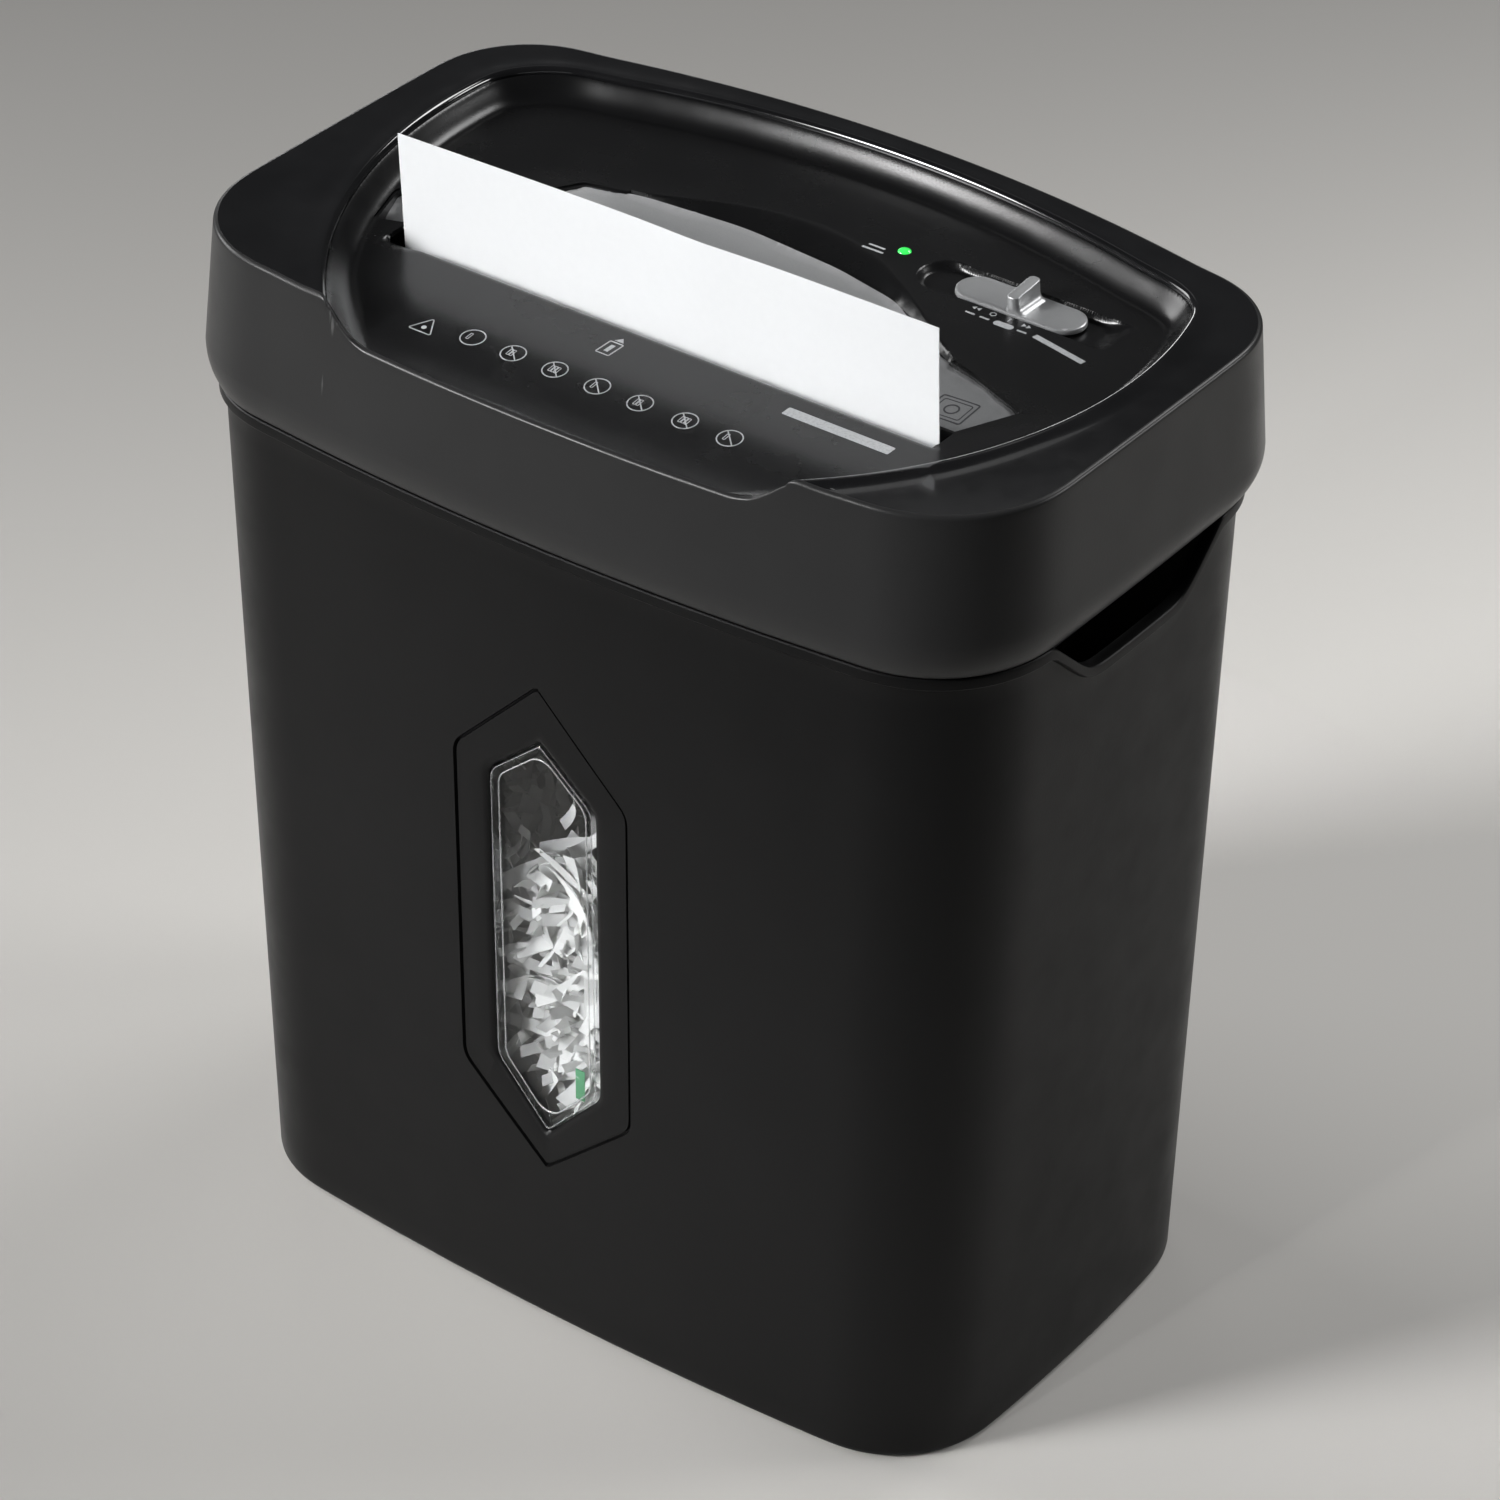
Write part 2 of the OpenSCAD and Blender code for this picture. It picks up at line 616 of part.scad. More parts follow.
module cutter_bushings() {
    color([0.7, 0.5, 0.25]) for (y = [front_y, rear_y], side = [-1, 1]) difference() {
        union() {
            rod_x(side < 0 ? -plate_x - plate_t : plate_x - bush_in, side < 0 ? bush_in - plate_x : plate_x + plate_t,
                y, shaft_z, bush_r);
            rod_x(side < 0 ? -plate_x : plate_x - bush_in, side < 0 ? bush_in - plate_x : plate_x,
                y, shaft_z, bush_r + 2);
        }
        rod_x(side * plate_x - 5, side * plate_x + 5, y, shaft_z, shaft_end_r + running);
    }
}

// Shaft with its discs; start is the first disc's left face
module cutter(y, start, x0, x1, twist) {
    profile = concat([[0, x0], [shaft_end_r, x0], [shaft_end_r, -core_x], [core_r, -core_x]],
        [for (i = [0:disc_n - 1], p = [[core_r, 0], [disc_r, 0], [disc_r, disc_t], [core_r, disc_t]])
            [p.x, start + i * disc_pitch + p.y]],
        [[core_r, core_x], [shaft_end_r, core_x], [shaft_end_r, x1], [0, x1]]);
    color([0.5, 0.5, 0.52]) on_x(y, shaft_z) difference() {
        rotate_extrude($fn = 64) polygon(profile);
        for (i = [0:disc_n - 1], k = [0:2])
            rotate(twist * i + 120 * k) translate([disc_r - 2.4, 0, start + i * disc_pitch - 0.1])
                rotate(-30) cube([6, 5, disc_t + 0.2]);
    }
}

module front_cutter() {
    cutter(front_y, front_start, -plate_x - plate_t, 128.5, 13);
}

module rear_cutter() {
    cutter(rear_y, rear_start, layer_1 - 0.5, 128.5, -13);
}

module timing_gear(y, phase) {
    color([0.65, 0.65, 0.67]) difference() {
        gear_x(timing_teeth, phase, y, 118.5, 127.5);
        rod_x(117, 129, y, shaft_z, shaft_end_r + 0.01);
    }
}

module front_timing_gear() {
    timing_gear(front_y, front_timing_phase);
}

module rear_timing_gear() {
    timing_gear(rear_y, rear_timing_phase);
}

// Comb whose fingers clean the gaps of one cutter; out is the side that it stands on
module comb(y, start, out) {
    color([0.16, 0.16, 0.17]) {
        bar = y + out * (disc_r + 0.8);
        box([-plate_x, min(bar, bar + out * 5), 330], [plate_x, max(bar, bar + out * 5), 346]);
        tip = y + out * (core_r + 0.6);
        for (i = [0:disc_n - 2]) {
            x = start + disc_t + i * disc_pitch + 0.4;
            box([x, min(tip, bar), 332], [x + disc_pitch - disc_t - 0.8, max(tip, bar), 344]);
        }
    }
}

module front_comb() {
    comb(front_y, front_start, -1);
}

module rear_comb() {
    comb(rear_y, rear_start, 1);
}

// ---- Gearbox ----
module cutter_gear() {
    color([0.62, 0.62, 0.64]) difference() {
        gear_x(cutter_teeth, cutter_phase, rear_y, layer_1, gear_x0);
        rod_x(-130, -110, rear_y, shaft_z, shaft_end_r + 0.01);
    }
}

module second_gear() {
    color([0.85, 0.85, 0.8]) difference() {
        union() {
            gear_x(second_pinion_teeth, second_pinion_phase, second_y, layer_1, gear_x0);
            gear_x(second_wheel_teeth, second_wheel_phase, second_y, layer_2, layer_1 - 1 + e);
            rod_x(layer_1 - 1, layer_1 + e, second_y, shaft_z, 7);
        }
        rod_x(-150, -110, second_y, shaft_z, axle_r + running);
    }
}

module first_gear() {
    color([0.85, 0.85, 0.8]) difference() {
        union() {
            gear_x(first_pinion_teeth, first_pinion_phase, first_y, layer_2, layer_1 - 1);
            gear_x(first_wheel_teeth, first_wheel_phase, first_y, layer_3, layer_2 - 1 + e);
            rod_x(layer_2 - 1, layer_2 + e, first_y, shaft_z, 4.6);
            rod_x(layer_1 - 1, gear_x0, first_y, shaft_z, 5);
        }
        rod_x(-150, -110, first_y, shaft_z, axle_r + running);
    }
}

module gear_axles() {
    color([0.75, 0.75, 0.77]) for (y = [second_y, first_y]) rod_x(axle_x, -plate_x, y, shaft_z, axle_r);
}

module gearbox_cover() {
    lo = [box_x, -44, 312.5];
    hi = [-plate_x - plate_t, 71, 363.5];
    color([0.1, 0.1, 0.1]) difference() {
        union() {
            difference() {
                box(lo, hi);
                box(lo + [2, 2, 2], hi + [1, -2, -2]);
            }
            for (p = gearbox_screw_places) rod_x(lo.x + 1, hi.x, p.x, p.y, 3.4);
            for (y = [second_y, first_y]) rod_x(lo.x + 1, layer_3 - 0.4, y, shaft_z, axle_r + 2);
        }
        for (y = [second_y, first_y]) rod_x(axle_x - 0.1, -110, y, shaft_z, axle_r + 0.01);
        for (p = gearbox_screw_places) rod_x(lo.x - 1, hi.x + 1, p.x, p.y, 1.3);
    }
}

// ---- Motor ----
module motor_can() {
    color([0.55, 0.56, 0.58]) difference() {
        union() {
            rod_x(can_x0, can_x1, motor_y, shaft_z, can_r);
            rod_x(-plate_x, can_x0 + e, motor_y, shaft_z, 8);
        }
        rod_x(can_x0 + 2.5, can_x1 + 1, motor_y, shaft_z, can_r - 1.6);
        rod_x(-119, can_x0 + 5, motor_y, shaft_z, rotor_shaft_r + running);
        for (z = [shaft_z - 15, shaft_z + 15]) rod_x(-119, can_x0 + 5, motor_y, z, 1.5);
    }
}

module motor_stator() {
    color([0.6, 0.25, 0.12]) difference() {
        rod_x(-98, -60, motor_y, shaft_z, can_r - 1.7);
        rod_x(-99, -59, motor_y, shaft_z, 15.2);
        for (side = [-1, 1]) box([-99, motor_y - 4 + side * 19, 310], [-59, motor_y + 4 + side * 19, 366]);
    }
}

module motor_rotor() {
    color([0.6, 0.6, 0.62]) {
        rod_x(layer_3 - 0.8, bell_x1 - 1.3, motor_y, shaft_z, rotor_shaft_r);
        difference() {
            rod_x(-97, -61, motor_y, shaft_z, 14.6);
            for (a = [0:30:330]) on_x(motor_y, shaft_z, -98) rotate(a) translate([11, -1, 0]) cube([5, 2, 40]);
        }
        gear_x(rotor_teeth, rotor_phase, motor_y, layer_3, layer_2 - 1.4);
    }
    color([0.7, 0.4, 0.2]) rod_x(-54, -42, motor_y, shaft_z, 7.5);
    color([0.1, 0.1, 0.1]) {
        rod_x(-109, -101, motor_y, shaft_z, 5);
        for (a = [0:45:315]) on_x(motor_y, shaft_z, -109) rotate(a) translate([4.5, -0.6, 0]) cube([14, 1.2, 8]);
    }
}

module motor_end_bell() {
    color([0.1, 0.1, 0.11]) difference() {
        rod_x(can_x1, bell_x1, motor_y, shaft_z, can_r);
        rod_x(can_x1 - 1, bell_x1 - 3, motor_y, shaft_z, can_r - 3);
        rod_x(-40, bell_x1 - 1, motor_y, shaft_z, rotor_shaft_r + running);
        for (a = [30:60:330]) on_x(motor_y, shaft_z, bell_x1 - 5) rotate(a) translate([10, -2.5, 0]) cube([7, 5, 8]);
        for (z = [shaft_z - 20, shaft_z + 20]) box([-44.8, motor_y - 3, z - 5], [-39.2, motor_y + 3, z + 5]);
    }
}

module motor_brushes() {
    color([0.15, 0.15, 0.15]) for (side = [-1, 1])
        translate([-42, motor_y, shaft_z + side * 14.9]) cube([5, 5.6, 14], center = true);
}

module motor_leads() {
    color([0.6, 0.08, 0.06]) wire([[-42, motor_y, 361.2], [-34, 68, 364], [-20, 64, 362], [-4, 60, 350],
        [12, 59, 338], [30, 59, 330], [64.6, 58, 322]], 0.9);
    color([0.08, 0.08, 0.08]) wire([[-42, motor_y, 314.8], [-34, 66, 311.6], [-20, 60, 310.5], [0, 56, 314],
        [16, 50.5, 324], [40, 50.5, 324], [64.6, 56, 320]], 0.9);
}

module switch_leads() {
    for (i = [0:1]) color(i == 0 ? [0.8, 0.7, 0.1] : [0.1, 0.3, 0.6])
        wire([[slider_x - 17.5 + i * 9, slider_y, 342], [slider_x - 17.5 + i * 9, 53, 339],
            [76 + i * 5, 57, 333], [76 + i * 5, 58, 326.8]], 0.7);
}

// ---- Fasteners ----
module base_screws() {
    color([0.2, 0.2, 0.2]) for (p = base_screw_places) translate([p.x, p.y, lip_z]) rotate([180, 0, 0])
        screw([0, 0, 0], 8, 1.45, 2.9);
}

module panel_screws() {
    color([0.6, 0.6, 0.6]) for (p = panel_screw_places) translate([p.x, p.y, panel_z - 8]) rotate([180, 0, 0])
        screw([0, 0, 0], 5, 1.25, 2.8);
}

module gearbox_screws() {
    color([0.6, 0.6, 0.6]) for (p = gearbox_screw_places)
        on_x(p.x, p.y, box_x) rotate([180, 0, 0]) screw([0, 0, 0], 24.5, 1.15, 2.6);
}

module motor_screws() {
    color([0.6, 0.6, 0.6]) for (z = [shaft_z - 15, shaft_z + 15])
        on_x(motor_y, z, -plate_x - plate_t) rotate([180, 0, 0]) screw([0, 0, 0], 6, 1.45, 2.8);
}

module paper_sheet() {
    color([0.97, 0.97, 0.98])
        box([-sheet_w / 2 + 0.6, sheet_y - 0.2, 349], [sheet_w / 2 + 0.6, sheet_y + 0.2, sheet_top]);
}

bin_shell();
bin_window();
paper_shreds();
head_shell();
top_rim();
top_panel();
paper_guide();
head_base();
cutter_tray();
feed_throat();
paper_sensors();
status_led();
mode_slider();
mode_switch();
circuit_board();
board_parts();
interlock_switch();
interlock_plunger();
cord_grommet();
left_side_plate();
right_side_plate();
tie_rods();
cutter_bushings();
front_cutter();
rear_cutter();
front_timing_gear();
rear_timing_gear();
front_comb();
rear_comb();
cutter_gear();
second_gear();
first_gear();
gear_axles();
gearbox_cover();
motor_can();
motor_stator();
motor_rotor();
motor_end_bell();
motor_brushes();
motor_leads();
switch_leads();
base_screws();
panel_screws();
gearbox_screws();
motor_screws();
paper_sheet();
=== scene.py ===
import json
import math
import random

import bmesh
import bpy
import numpy as np
from mathutils import Matrix, Vector, geometry


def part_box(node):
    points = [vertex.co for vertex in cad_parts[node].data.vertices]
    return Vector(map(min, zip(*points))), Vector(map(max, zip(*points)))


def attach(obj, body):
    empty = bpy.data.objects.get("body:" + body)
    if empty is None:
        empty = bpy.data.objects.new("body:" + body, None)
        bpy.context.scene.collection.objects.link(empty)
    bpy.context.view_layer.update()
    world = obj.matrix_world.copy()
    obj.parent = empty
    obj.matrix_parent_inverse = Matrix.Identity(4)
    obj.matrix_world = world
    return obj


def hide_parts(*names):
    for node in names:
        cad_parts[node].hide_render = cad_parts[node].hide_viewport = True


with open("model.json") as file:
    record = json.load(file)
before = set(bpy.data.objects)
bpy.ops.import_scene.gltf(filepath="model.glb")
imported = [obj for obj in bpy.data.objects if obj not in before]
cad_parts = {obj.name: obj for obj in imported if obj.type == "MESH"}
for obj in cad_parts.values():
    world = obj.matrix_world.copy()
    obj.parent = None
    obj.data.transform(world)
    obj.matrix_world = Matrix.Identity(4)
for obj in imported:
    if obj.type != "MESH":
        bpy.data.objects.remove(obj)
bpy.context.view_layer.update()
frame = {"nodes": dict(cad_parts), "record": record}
MM = 0.001


def span(node):
    """Lowest and highest corners of a CAD node, in millimetres."""
    lo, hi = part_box(node)
    return np.array(lo) / MM, np.array(hi) / MM


# ---- Driving sizes, in millimetres, from the frame ----
SHELL_LO, SHELL_HI = span("head_shell")
SLIDER_LO, SLIDER_HI = span("mode_slider")
LED_LO, LED_HI = span("status_led")
SHEET_LO, SHEET_HI = span("paper_sheet")
PANE_LO, PANE_HI = span("bin_window")
BIN_H = span("bin_shell")[1][2]
RIM_Z = span("top_rim")[1][2]
PANEL_Z = span("top_panel")[1][2]
SEAM_Z = SHELL_LO[2]
SIDE_BOW = 0.6
HALF_W = SHELL_HI[0] - SIDE_BOW


# ---- Paths and outlines ----
def unit(v):
    return v / np.maximum(np.linalg.norm(v, axis=-1, keepdims=True), 1e-9)


def lengths(path):
    """Length along a closed path up to each of its points, and the whole length at the end."""
    return np.concatenate([[0], np.cumsum(np.linalg.norm(np.roll(path, -1, 0) - path, axis=1))])


def resample(path, at):
    """Points of a closed path at these shares of its length."""
    along = lengths(path)
    closed = np.vstack([path, path[:1]])
    marks = np.asarray(at) * along[-1]
    return np.stack([np.interp(marks, along, closed[:, k]) for k in range(2)], 1)


def in_steps(path, n):
    """Points of a closed path at n equal steps along it."""
    return resample(path, np.arange(0, 1, 1 / n))


def evenly(path, step):
    """Points of a closed path that many millimetres apart."""
    return resample(path, np.arange(0, 1, step / lengths(path)[-1]))


def soften(path, reach):
    """Rounds the kinks of a closed, evenly spaced path over about that many millimetres."""
    step = lengths(path)[-1] / len(path)
    damp = np.exp(-2 * (np.pi * np.fft.rfftfreq(len(path), step) * reach) ** 2)[:, None]
    return np.fft.irfft(np.fft.rfft(path, axis=0) * damp, len(path), axis=0)


def outward(path):
    """Outward normals of a closed path that runs anticlockwise."""
    along = np.roll(path, -1, 0) - np.roll(path, 1, 0)
    return unit(np.stack([along[:, 1], -along[:, 0]], 1))


def outline(half_w, half_d, front_r, back_r, front_bow, back_bow, side_bow):
    """Smooth closed outline, anticlockwise from the middle of its front."""
    def bowed(p, q, out, bow):
        t = np.linspace(0, 1, 80, endpoint=False)[:, None]
        return np.array(p) + (np.array(q) - np.array(p)) * t + np.array(out) * 4 * t * (1 - t) * bow

    def corner(x, y, r, start):
        t = np.radians(start + np.linspace(0, 90, 40, endpoint=False))
        return np.stack([x + r * np.cos(t), y + r * np.sin(t)], 1)
    a, b, f, k = half_w, half_d, front_r, back_r
    path = np.concatenate([
        bowed([f - a, -b], [a - f, -b], [0, -1], front_bow), corner(a - f, f - b, f, -90),
        bowed([a, f - b], [a, b - k], [1, 0], side_bow), corner(a - k, b - k, k, 0),
        bowed([a - k, b], [k - a, b], [0, 1], back_bow), corner(k - a, b - k, k, 90),
        bowed([-a, b - k], [-a, f - b], [-1, 0], side_bow), corner(f - a, f - b, f, 180)])
    path = soften(evenly(np.roll(path, -40, 0), 1.0), 5)
    first = np.argmin(np.abs(path[:, 0]) + 1000 * (path[:, 1] > 0))
    return np.roll(path, -first, 0)


def rounded(corners, radii, step=1.2):
    """Closed path through corners, each with its own radius."""
    corners = [np.array(c, float) for c in corners]
    n, out = len(corners), []
    for i, c in enumerate(corners):
        p, q, r = corners[i - 1], corners[(i + 1) % n], radii[i]
        u, v = unit(p - c), unit(q - c)
        half = math.acos(np.clip(u @ v, -1, 1)) / 2
        reach = r / math.tan(half)
        middle = c + unit(u + v) * r / math.sin(half)
        a0, a1 = c + u * reach - middle, c + v * reach - middle
        start = math.atan2(a0[1], a0[0])
        turn = (math.atan2(a1[1], a1[0]) - start + math.pi) % (2 * math.pi) - math.pi
        k = max(2, int(abs(turn) * r / step) + 3)
        out += [middle + r * np.array([math.cos(start + turn * t), math.sin(start + turn * t)])
                for t in np.linspace(0, 1, k)]
    out = np.array(out)
    keep = np.linalg.norm(out - np.roll(out, 1, 0), axis=1) > 1e-4
    return out[keep]


def rounded_rect(x0, y0, x1, y1, r, step=1.2):
    return rounded([[x0, y0], [x1, y0], [x1, y1], [x0, y1]], [r] * 4, step)


def circle(x, y, r, step=9):
    """Points of a circle, that many degrees apart."""
    a = np.radians(np.arange(0, 360, step))
    return np.stack([x + r * np.cos(a), y + r * np.sin(a)], 1)


def inside(points, path):
    """Whether each point lies inside a closed path."""
    x, y = points[:, 0:1], points[:, 1:2]
    x0, y0 = path[:, 0], path[:, 1]
    x1, y1 = np.roll(x0, -1), np.roll(y0, -1)
    rise = np.where(np.abs(y1 - y0) < 1e-12, 1e-12, y1 - y0)
    hit = ((y0 > y) != (y1 > y)) & (x < x0 + (y - y0) * (x1 - x0) / rise)
    return hit.sum(1) % 2 == 1


def distance(points, path, closed=True):
    """Distance of each point to a path."""
    a = path if closed else path[:-1]
    b = np.roll(path, -1, 0) if closed else path[1:]
    d = b - a
    size = np.maximum((d * d).sum(1), 1e-12)
    best = np.empty(len(points))
    for i in range(0, len(points), 4000):
        p = points[i:i + 4000, None, :]
        t = np.clip(((p - a) * d).sum(2) / size, 0, 1)
        best[i:i + 4000] = np.sqrt((((a + t[..., None] * d) - p) ** 2).sum(2).min(1))
    return best


def spline(points, n):
    """Smooth open curve through given points."""
    p = np.array(points, float)
    ends = np.vstack([2 * p[0] - p[1], p, 2 * p[-1] - p[-2]])
    t = np.linspace(0, len(p) - 1, n)
    k = np.minimum(t.astype(int), len(p) - 2)
    f = (t - k)[:, None]
    a, b, c, d = ends[k], ends[k + 1], ends[k + 2], ends[k + 3]
    square, cube = 2 * a - 5 * b + 4 * c - d, 3 * b - a - 3 * c + d
    return 0.5 * (2 * b + (c - a) * f + square * f ** 2 + cube * f ** 3)


def ease(t):
    t = np.clip(t, 0, 1)
    return t * t * (3 - 2 * t)


# ---- Meshes ----
def grid_faces(rows, cols, wrap=True):
    """Quads between rows of points; each row holds cols points, and wrap joins its ends."""
    out = []
    for start in range(0, (rows - 1) * cols, cols):
        for c in range(cols if wrap else cols - 1):
            d = (c + 1) % cols
            out.append((start + c, start + d, start + cols + d, start + cols + c))
    return out


def flat(path, z):
    """Points of a path with one more coordinate: the same for all, or one for each."""
    return np.column_stack([path, np.broadcast_to(z, len(path))])


def loft(rings):
    """Points and faces of closed rings joined one to the next, with a fan over each end."""
    n, last = len(rings[0]), (len(rings) - 1) * len(rings[0])
    points = np.vstack([*rings, rings[0].mean(0), rings[-1].mean(0)])
    faces = grid_faces(len(rings), n)
    faces += [(last + n, (i + 1) % n, i) for i in range(n)]
    faces += [(last + i, last + (i + 1) % n, last + n + 1) for i in range(n)]
    return points, faces


def hoop(rings):
    """Points and faces of closed rings joined one to the next, and the last to the first."""
    n, last = len(rings[0]), (len(rings) - 1) * len(rings[0])
    faces = grid_faces(len(rings), n)
    faces += [(last + i, last + (i + 1) % n, (i + 1) % n, i) for i in range(n)]
    return np.vstack(rings), faces


def join(*shapes):
    """One list of points and faces out of several."""
    points, faces, base = [], [], 0
    for p, f in shapes:
        points.append(np.asarray(p, float))
        faces += [tuple(i + base for i in face) for face in f]
        base += len(p)
    return np.vstack(points), faces


def add_object(name, data):
    obj = bpy.data.objects.new(name, data)
    bpy.context.scene.collection.objects.link(obj)
    return obj


def new_object(name, shape):
    """Object made of points in millimetres and faces."""
    mesh = bpy.data.meshes.new(name)
    mesh.from_pydata((np.asarray(shape[0]) * MM).tolist(), [], [list(f) for f in shape[1]])
    mesh.validate()
    return add_object(name, mesh)


def settle(obj):
    """Replaces an object's mesh by what its modifiers make of it."""
    made = bpy.data.meshes.new_from_object(obj.evaluated_get(bpy.context.evaluated_depsgraph_get()))
    obj.modifiers.clear()
    obj.data = made


def clean(obj, weld=0.002):
    """Welds doubled points and turns every face outward."""
    bm = bmesh.new()
    bm.from_mesh(obj.data)
    bmesh.ops.remove_doubles(bm, verts=bm.verts, dist=weld * MM)
    bmesh.ops.dissolve_degenerate(bm, edges=bm.edges, dist=weld * MM / 2)
    bmesh.ops.recalc_face_normals(bm, faces=bm.faces)
    bm.to_mesh(obj.data)
    bm.free()


def solid(name, shape, weld=0.002):
    obj = new_object(name, shape)
    clean(obj, weld)
    return obj


def carve(obj, shape):
    """Takes the space of a closed shape out of an object."""
    tool = solid("tool", shape)
    cut = obj.modifiers.new("cut", "BOOLEAN")
    cut.operation = "DIFFERENCE"
    cut.solver = "EXACT"
    cut.object = tool
    settle(obj)
    bpy.data.objects.remove(tool)


def finish_piece(obj, look, body, replaced=(), sharp=32):
    """Shading, material and place in the frame of a finished piece."""
    obj.data.materials.clear()
    obj.data.materials.append(LOOKS[look])
    obj.data.shade_smooth()
    obj.data.set_sharp_from_angle(angle=math.radians(sharp))
    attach(obj, body)
    if replaced:
        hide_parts(*replaced)


# ---- Materials ----
class Look:
    """A node material: base colour and roughness varied by noise, bump, and lighter convex edges that
    stand for wear, and on some materials for a painted highlight.
    """

    def __init__(self, name, color, rough, metallic=0.0, specular=0.5, coat=0.0, coat_rough=0.05):
        self.name = name
        self.mat = bpy.data.materials.new(name)
        self.mat.use_nodes = True
        self.tree = self.mat.node_tree
        self.shader = self.tree.nodes["Principled BSDF"]
        self.set("Base Color", (*color, 1))
        self.set("Roughness", rough)
        self.set("Metallic", metallic)
        self.set("Specular IOR Level", specular)
        self.set("Coat Weight", coat)
        self.set("Coat Roughness", coat_rough)
        self.place = self.node("ShaderNodeTexCoord").outputs["Object"]
        self.normal = None

    def node(self, kind, **values):
        node = self.tree.nodes.new(kind)
        for key, value in values.items():
            setattr(node, key, value)
        return node

    def link(self, a, b):
        self.tree.links.new(a, b)

    def set(self, socket, value):
        self.shader.inputs[socket].default_value = value

    def noise(self, scale, detail=4.0, rough=0.55, stretch=(1, 1, 1)):
        """Noise with that many waves in a millimetre, stretched along the object's axes."""
        turn = self.node("ShaderNodeMapping")
        turn.inputs["Scale"].default_value = stretch
        self.link(self.place, turn.inputs["Vector"])
        noise = self.node("ShaderNodeTexNoise")
        noise.inputs["Scale"].default_value = scale / MM
        noise.inputs["Detail"].default_value = detail
        noise.inputs["Roughness"].default_value = rough
        self.link(turn.outputs[0], noise.inputs["Vector"])
        return noise.outputs["Fac"]

    def cells(self, scale):
        cell = self.node("ShaderNodeTexVoronoi", feature="F1")
        cell.inputs["Scale"].default_value = scale / MM
        self.link(self.place, cell.inputs["Vector"])
        return cell.outputs["Distance"]

    def ranged(self, fac, lo, hi, low=0.3, high=0.7):
        remap = self.node("ShaderNodeMapRange")
        self.link(fac, remap.inputs["Value"])
        for key, value in (("From Min", low), ("From Max", high), ("To Min", lo), ("To Max", hi)):
            remap.inputs[key].default_value = value
        return remap.outputs[0]

    def vary(self, fac, other, low=0.35, high=0.65):
        """Mixes another colour in where fac is high."""
        mix = self.node("ShaderNodeMix", data_type="RGBA")
        self.link(self.ranged(fac, 0, 1, low, high), mix.inputs["Factor"])
        old = self.shader.inputs["Base Color"]
        if old.links:
            self.link(old.links[0].from_socket, mix.inputs["A"])
        else:
            mix.inputs["A"].default_value = old.default_value
        mix.inputs["B"].default_value = (*other, 1)
        self.link(mix.outputs["Result"], old)

    def shine(self, fac, lo, hi, low=0.3, high=0.7):
        """Roughness from lo to hi as fac rises."""
        self.link(self.ranged(fac, lo, hi, low, high), self.shader.inputs["Roughness"])

    def bump(self, fac, depth):
        """Raises the surface by depth millimetres where fac is 1."""
        bump = self.node("ShaderNodeBump")
        bump.inputs["Distance"].default_value = depth * MM
        bump.inputs["Strength"].default_value = 1.0
        self.link(fac, bump.inputs["Height"])
        if self.normal:
            self.link(self.normal, bump.inputs["Normal"])
        self.normal = bump.outputs[0]
        self.link(self.normal, self.shader.inputs["Normal"])

    def edge_wear_and_highlight(self, color, low=0.52, high=0.62):
        """Lighter convex edges: rubbed wear on some materials, a painted highlight on others."""
        edge = self.node("ShaderNodeNewGeometry").outputs["Pointiness"]
        self.vary(edge, color, low, high)

    def blend(self, share, first, second):
        """Shows the second shader for that share, and the first for the rest."""
        mix = self.node("ShaderNodeMixShader")
        if isinstance(share, float):
            mix.inputs[0].default_value = share
        else:
            self.link(share, mix.inputs[0])
        self.link(first.outputs[0], mix.inputs[1])
        self.link(second.outputs[0], mix.inputs[2])
        self.link(mix.outputs[0], self.tree.nodes["Material Output"].inputs[0])


def shade(color, share, lift=0.0):
    return tuple(min(1, c * share + lift) for c in color)


def moulded(name, color, rough, grain, depth, spread=0.05, specular=0.5, lighter=1.35, edge=None):
    """Moulded plastic with a spark-eroded grain of that many cells in a millimetre."""
    look = Look(name, color, rough, specular=specular)
    look.vary(look.noise(0.02, 3), shade(color, lighter), 0.3, 0.75)
    look.shine(look.noise(0.05, 5), rough - spread, rough + spread)
    look.bump(look.noise(grain, 3, 0.6), depth)
    look.bump(look.noise(0.03, 2), 0.008)
    # Lighter convex edges here are a painted highlight along the edges (set for the head)
    if edge:
        look.edge_wear_and_highlight([edge] * 3, 0.55, 0.66)
    return look


def metal(name, color, rough, stretch=(1, 1, 1), scratch=0.6):
    """Machined metal with fine scratches, longer where stretch is small."""
    look = Look(name, color, rough, metallic=1.0)
    look.vary(look.noise(0.05, 4), shade(color, 0.8))
    look.shine(look.noise(scratch, 5, 0.6, stretch), rough - 0.1, rough + 0.12)
    look.bump(look.noise(scratch, 5, 0.6, stretch), 0.02)
    look.edge_wear_and_highlight(shade(color, 1.35))
    return look


def painted(name, color, rough):
    look = Look(name, color, rough)
    look.vary(look.noise(0.08, 4), shade(color, 0.75))
    look.shine(look.noise(0.3, 4), rough - 0.07, rough + 0.07)
    look.bump(look.noise(1.5, 4), 0.02)
    look.edge_wear_and_highlight(shade(color, 1.4, 0.02))
    return look


def gloss_black():
    look = Look("gloss_black", (0.003, 0.003, 0.0034), 0.1, specular=0.45, coat=0.3, coat_rough=0.02)
    look.vary(look.noise(0.03, 3), (0.006, 0.006, 0.0065))
    look.shine(look.noise(0.08, 6, 0.65), 0.07, 0.14)
    look.bump(look.noise(0.02, 2), 0.012)
    look.edge_wear_and_highlight((0.08, 0.08, 0.08), 0.54, 0.64)
    return look


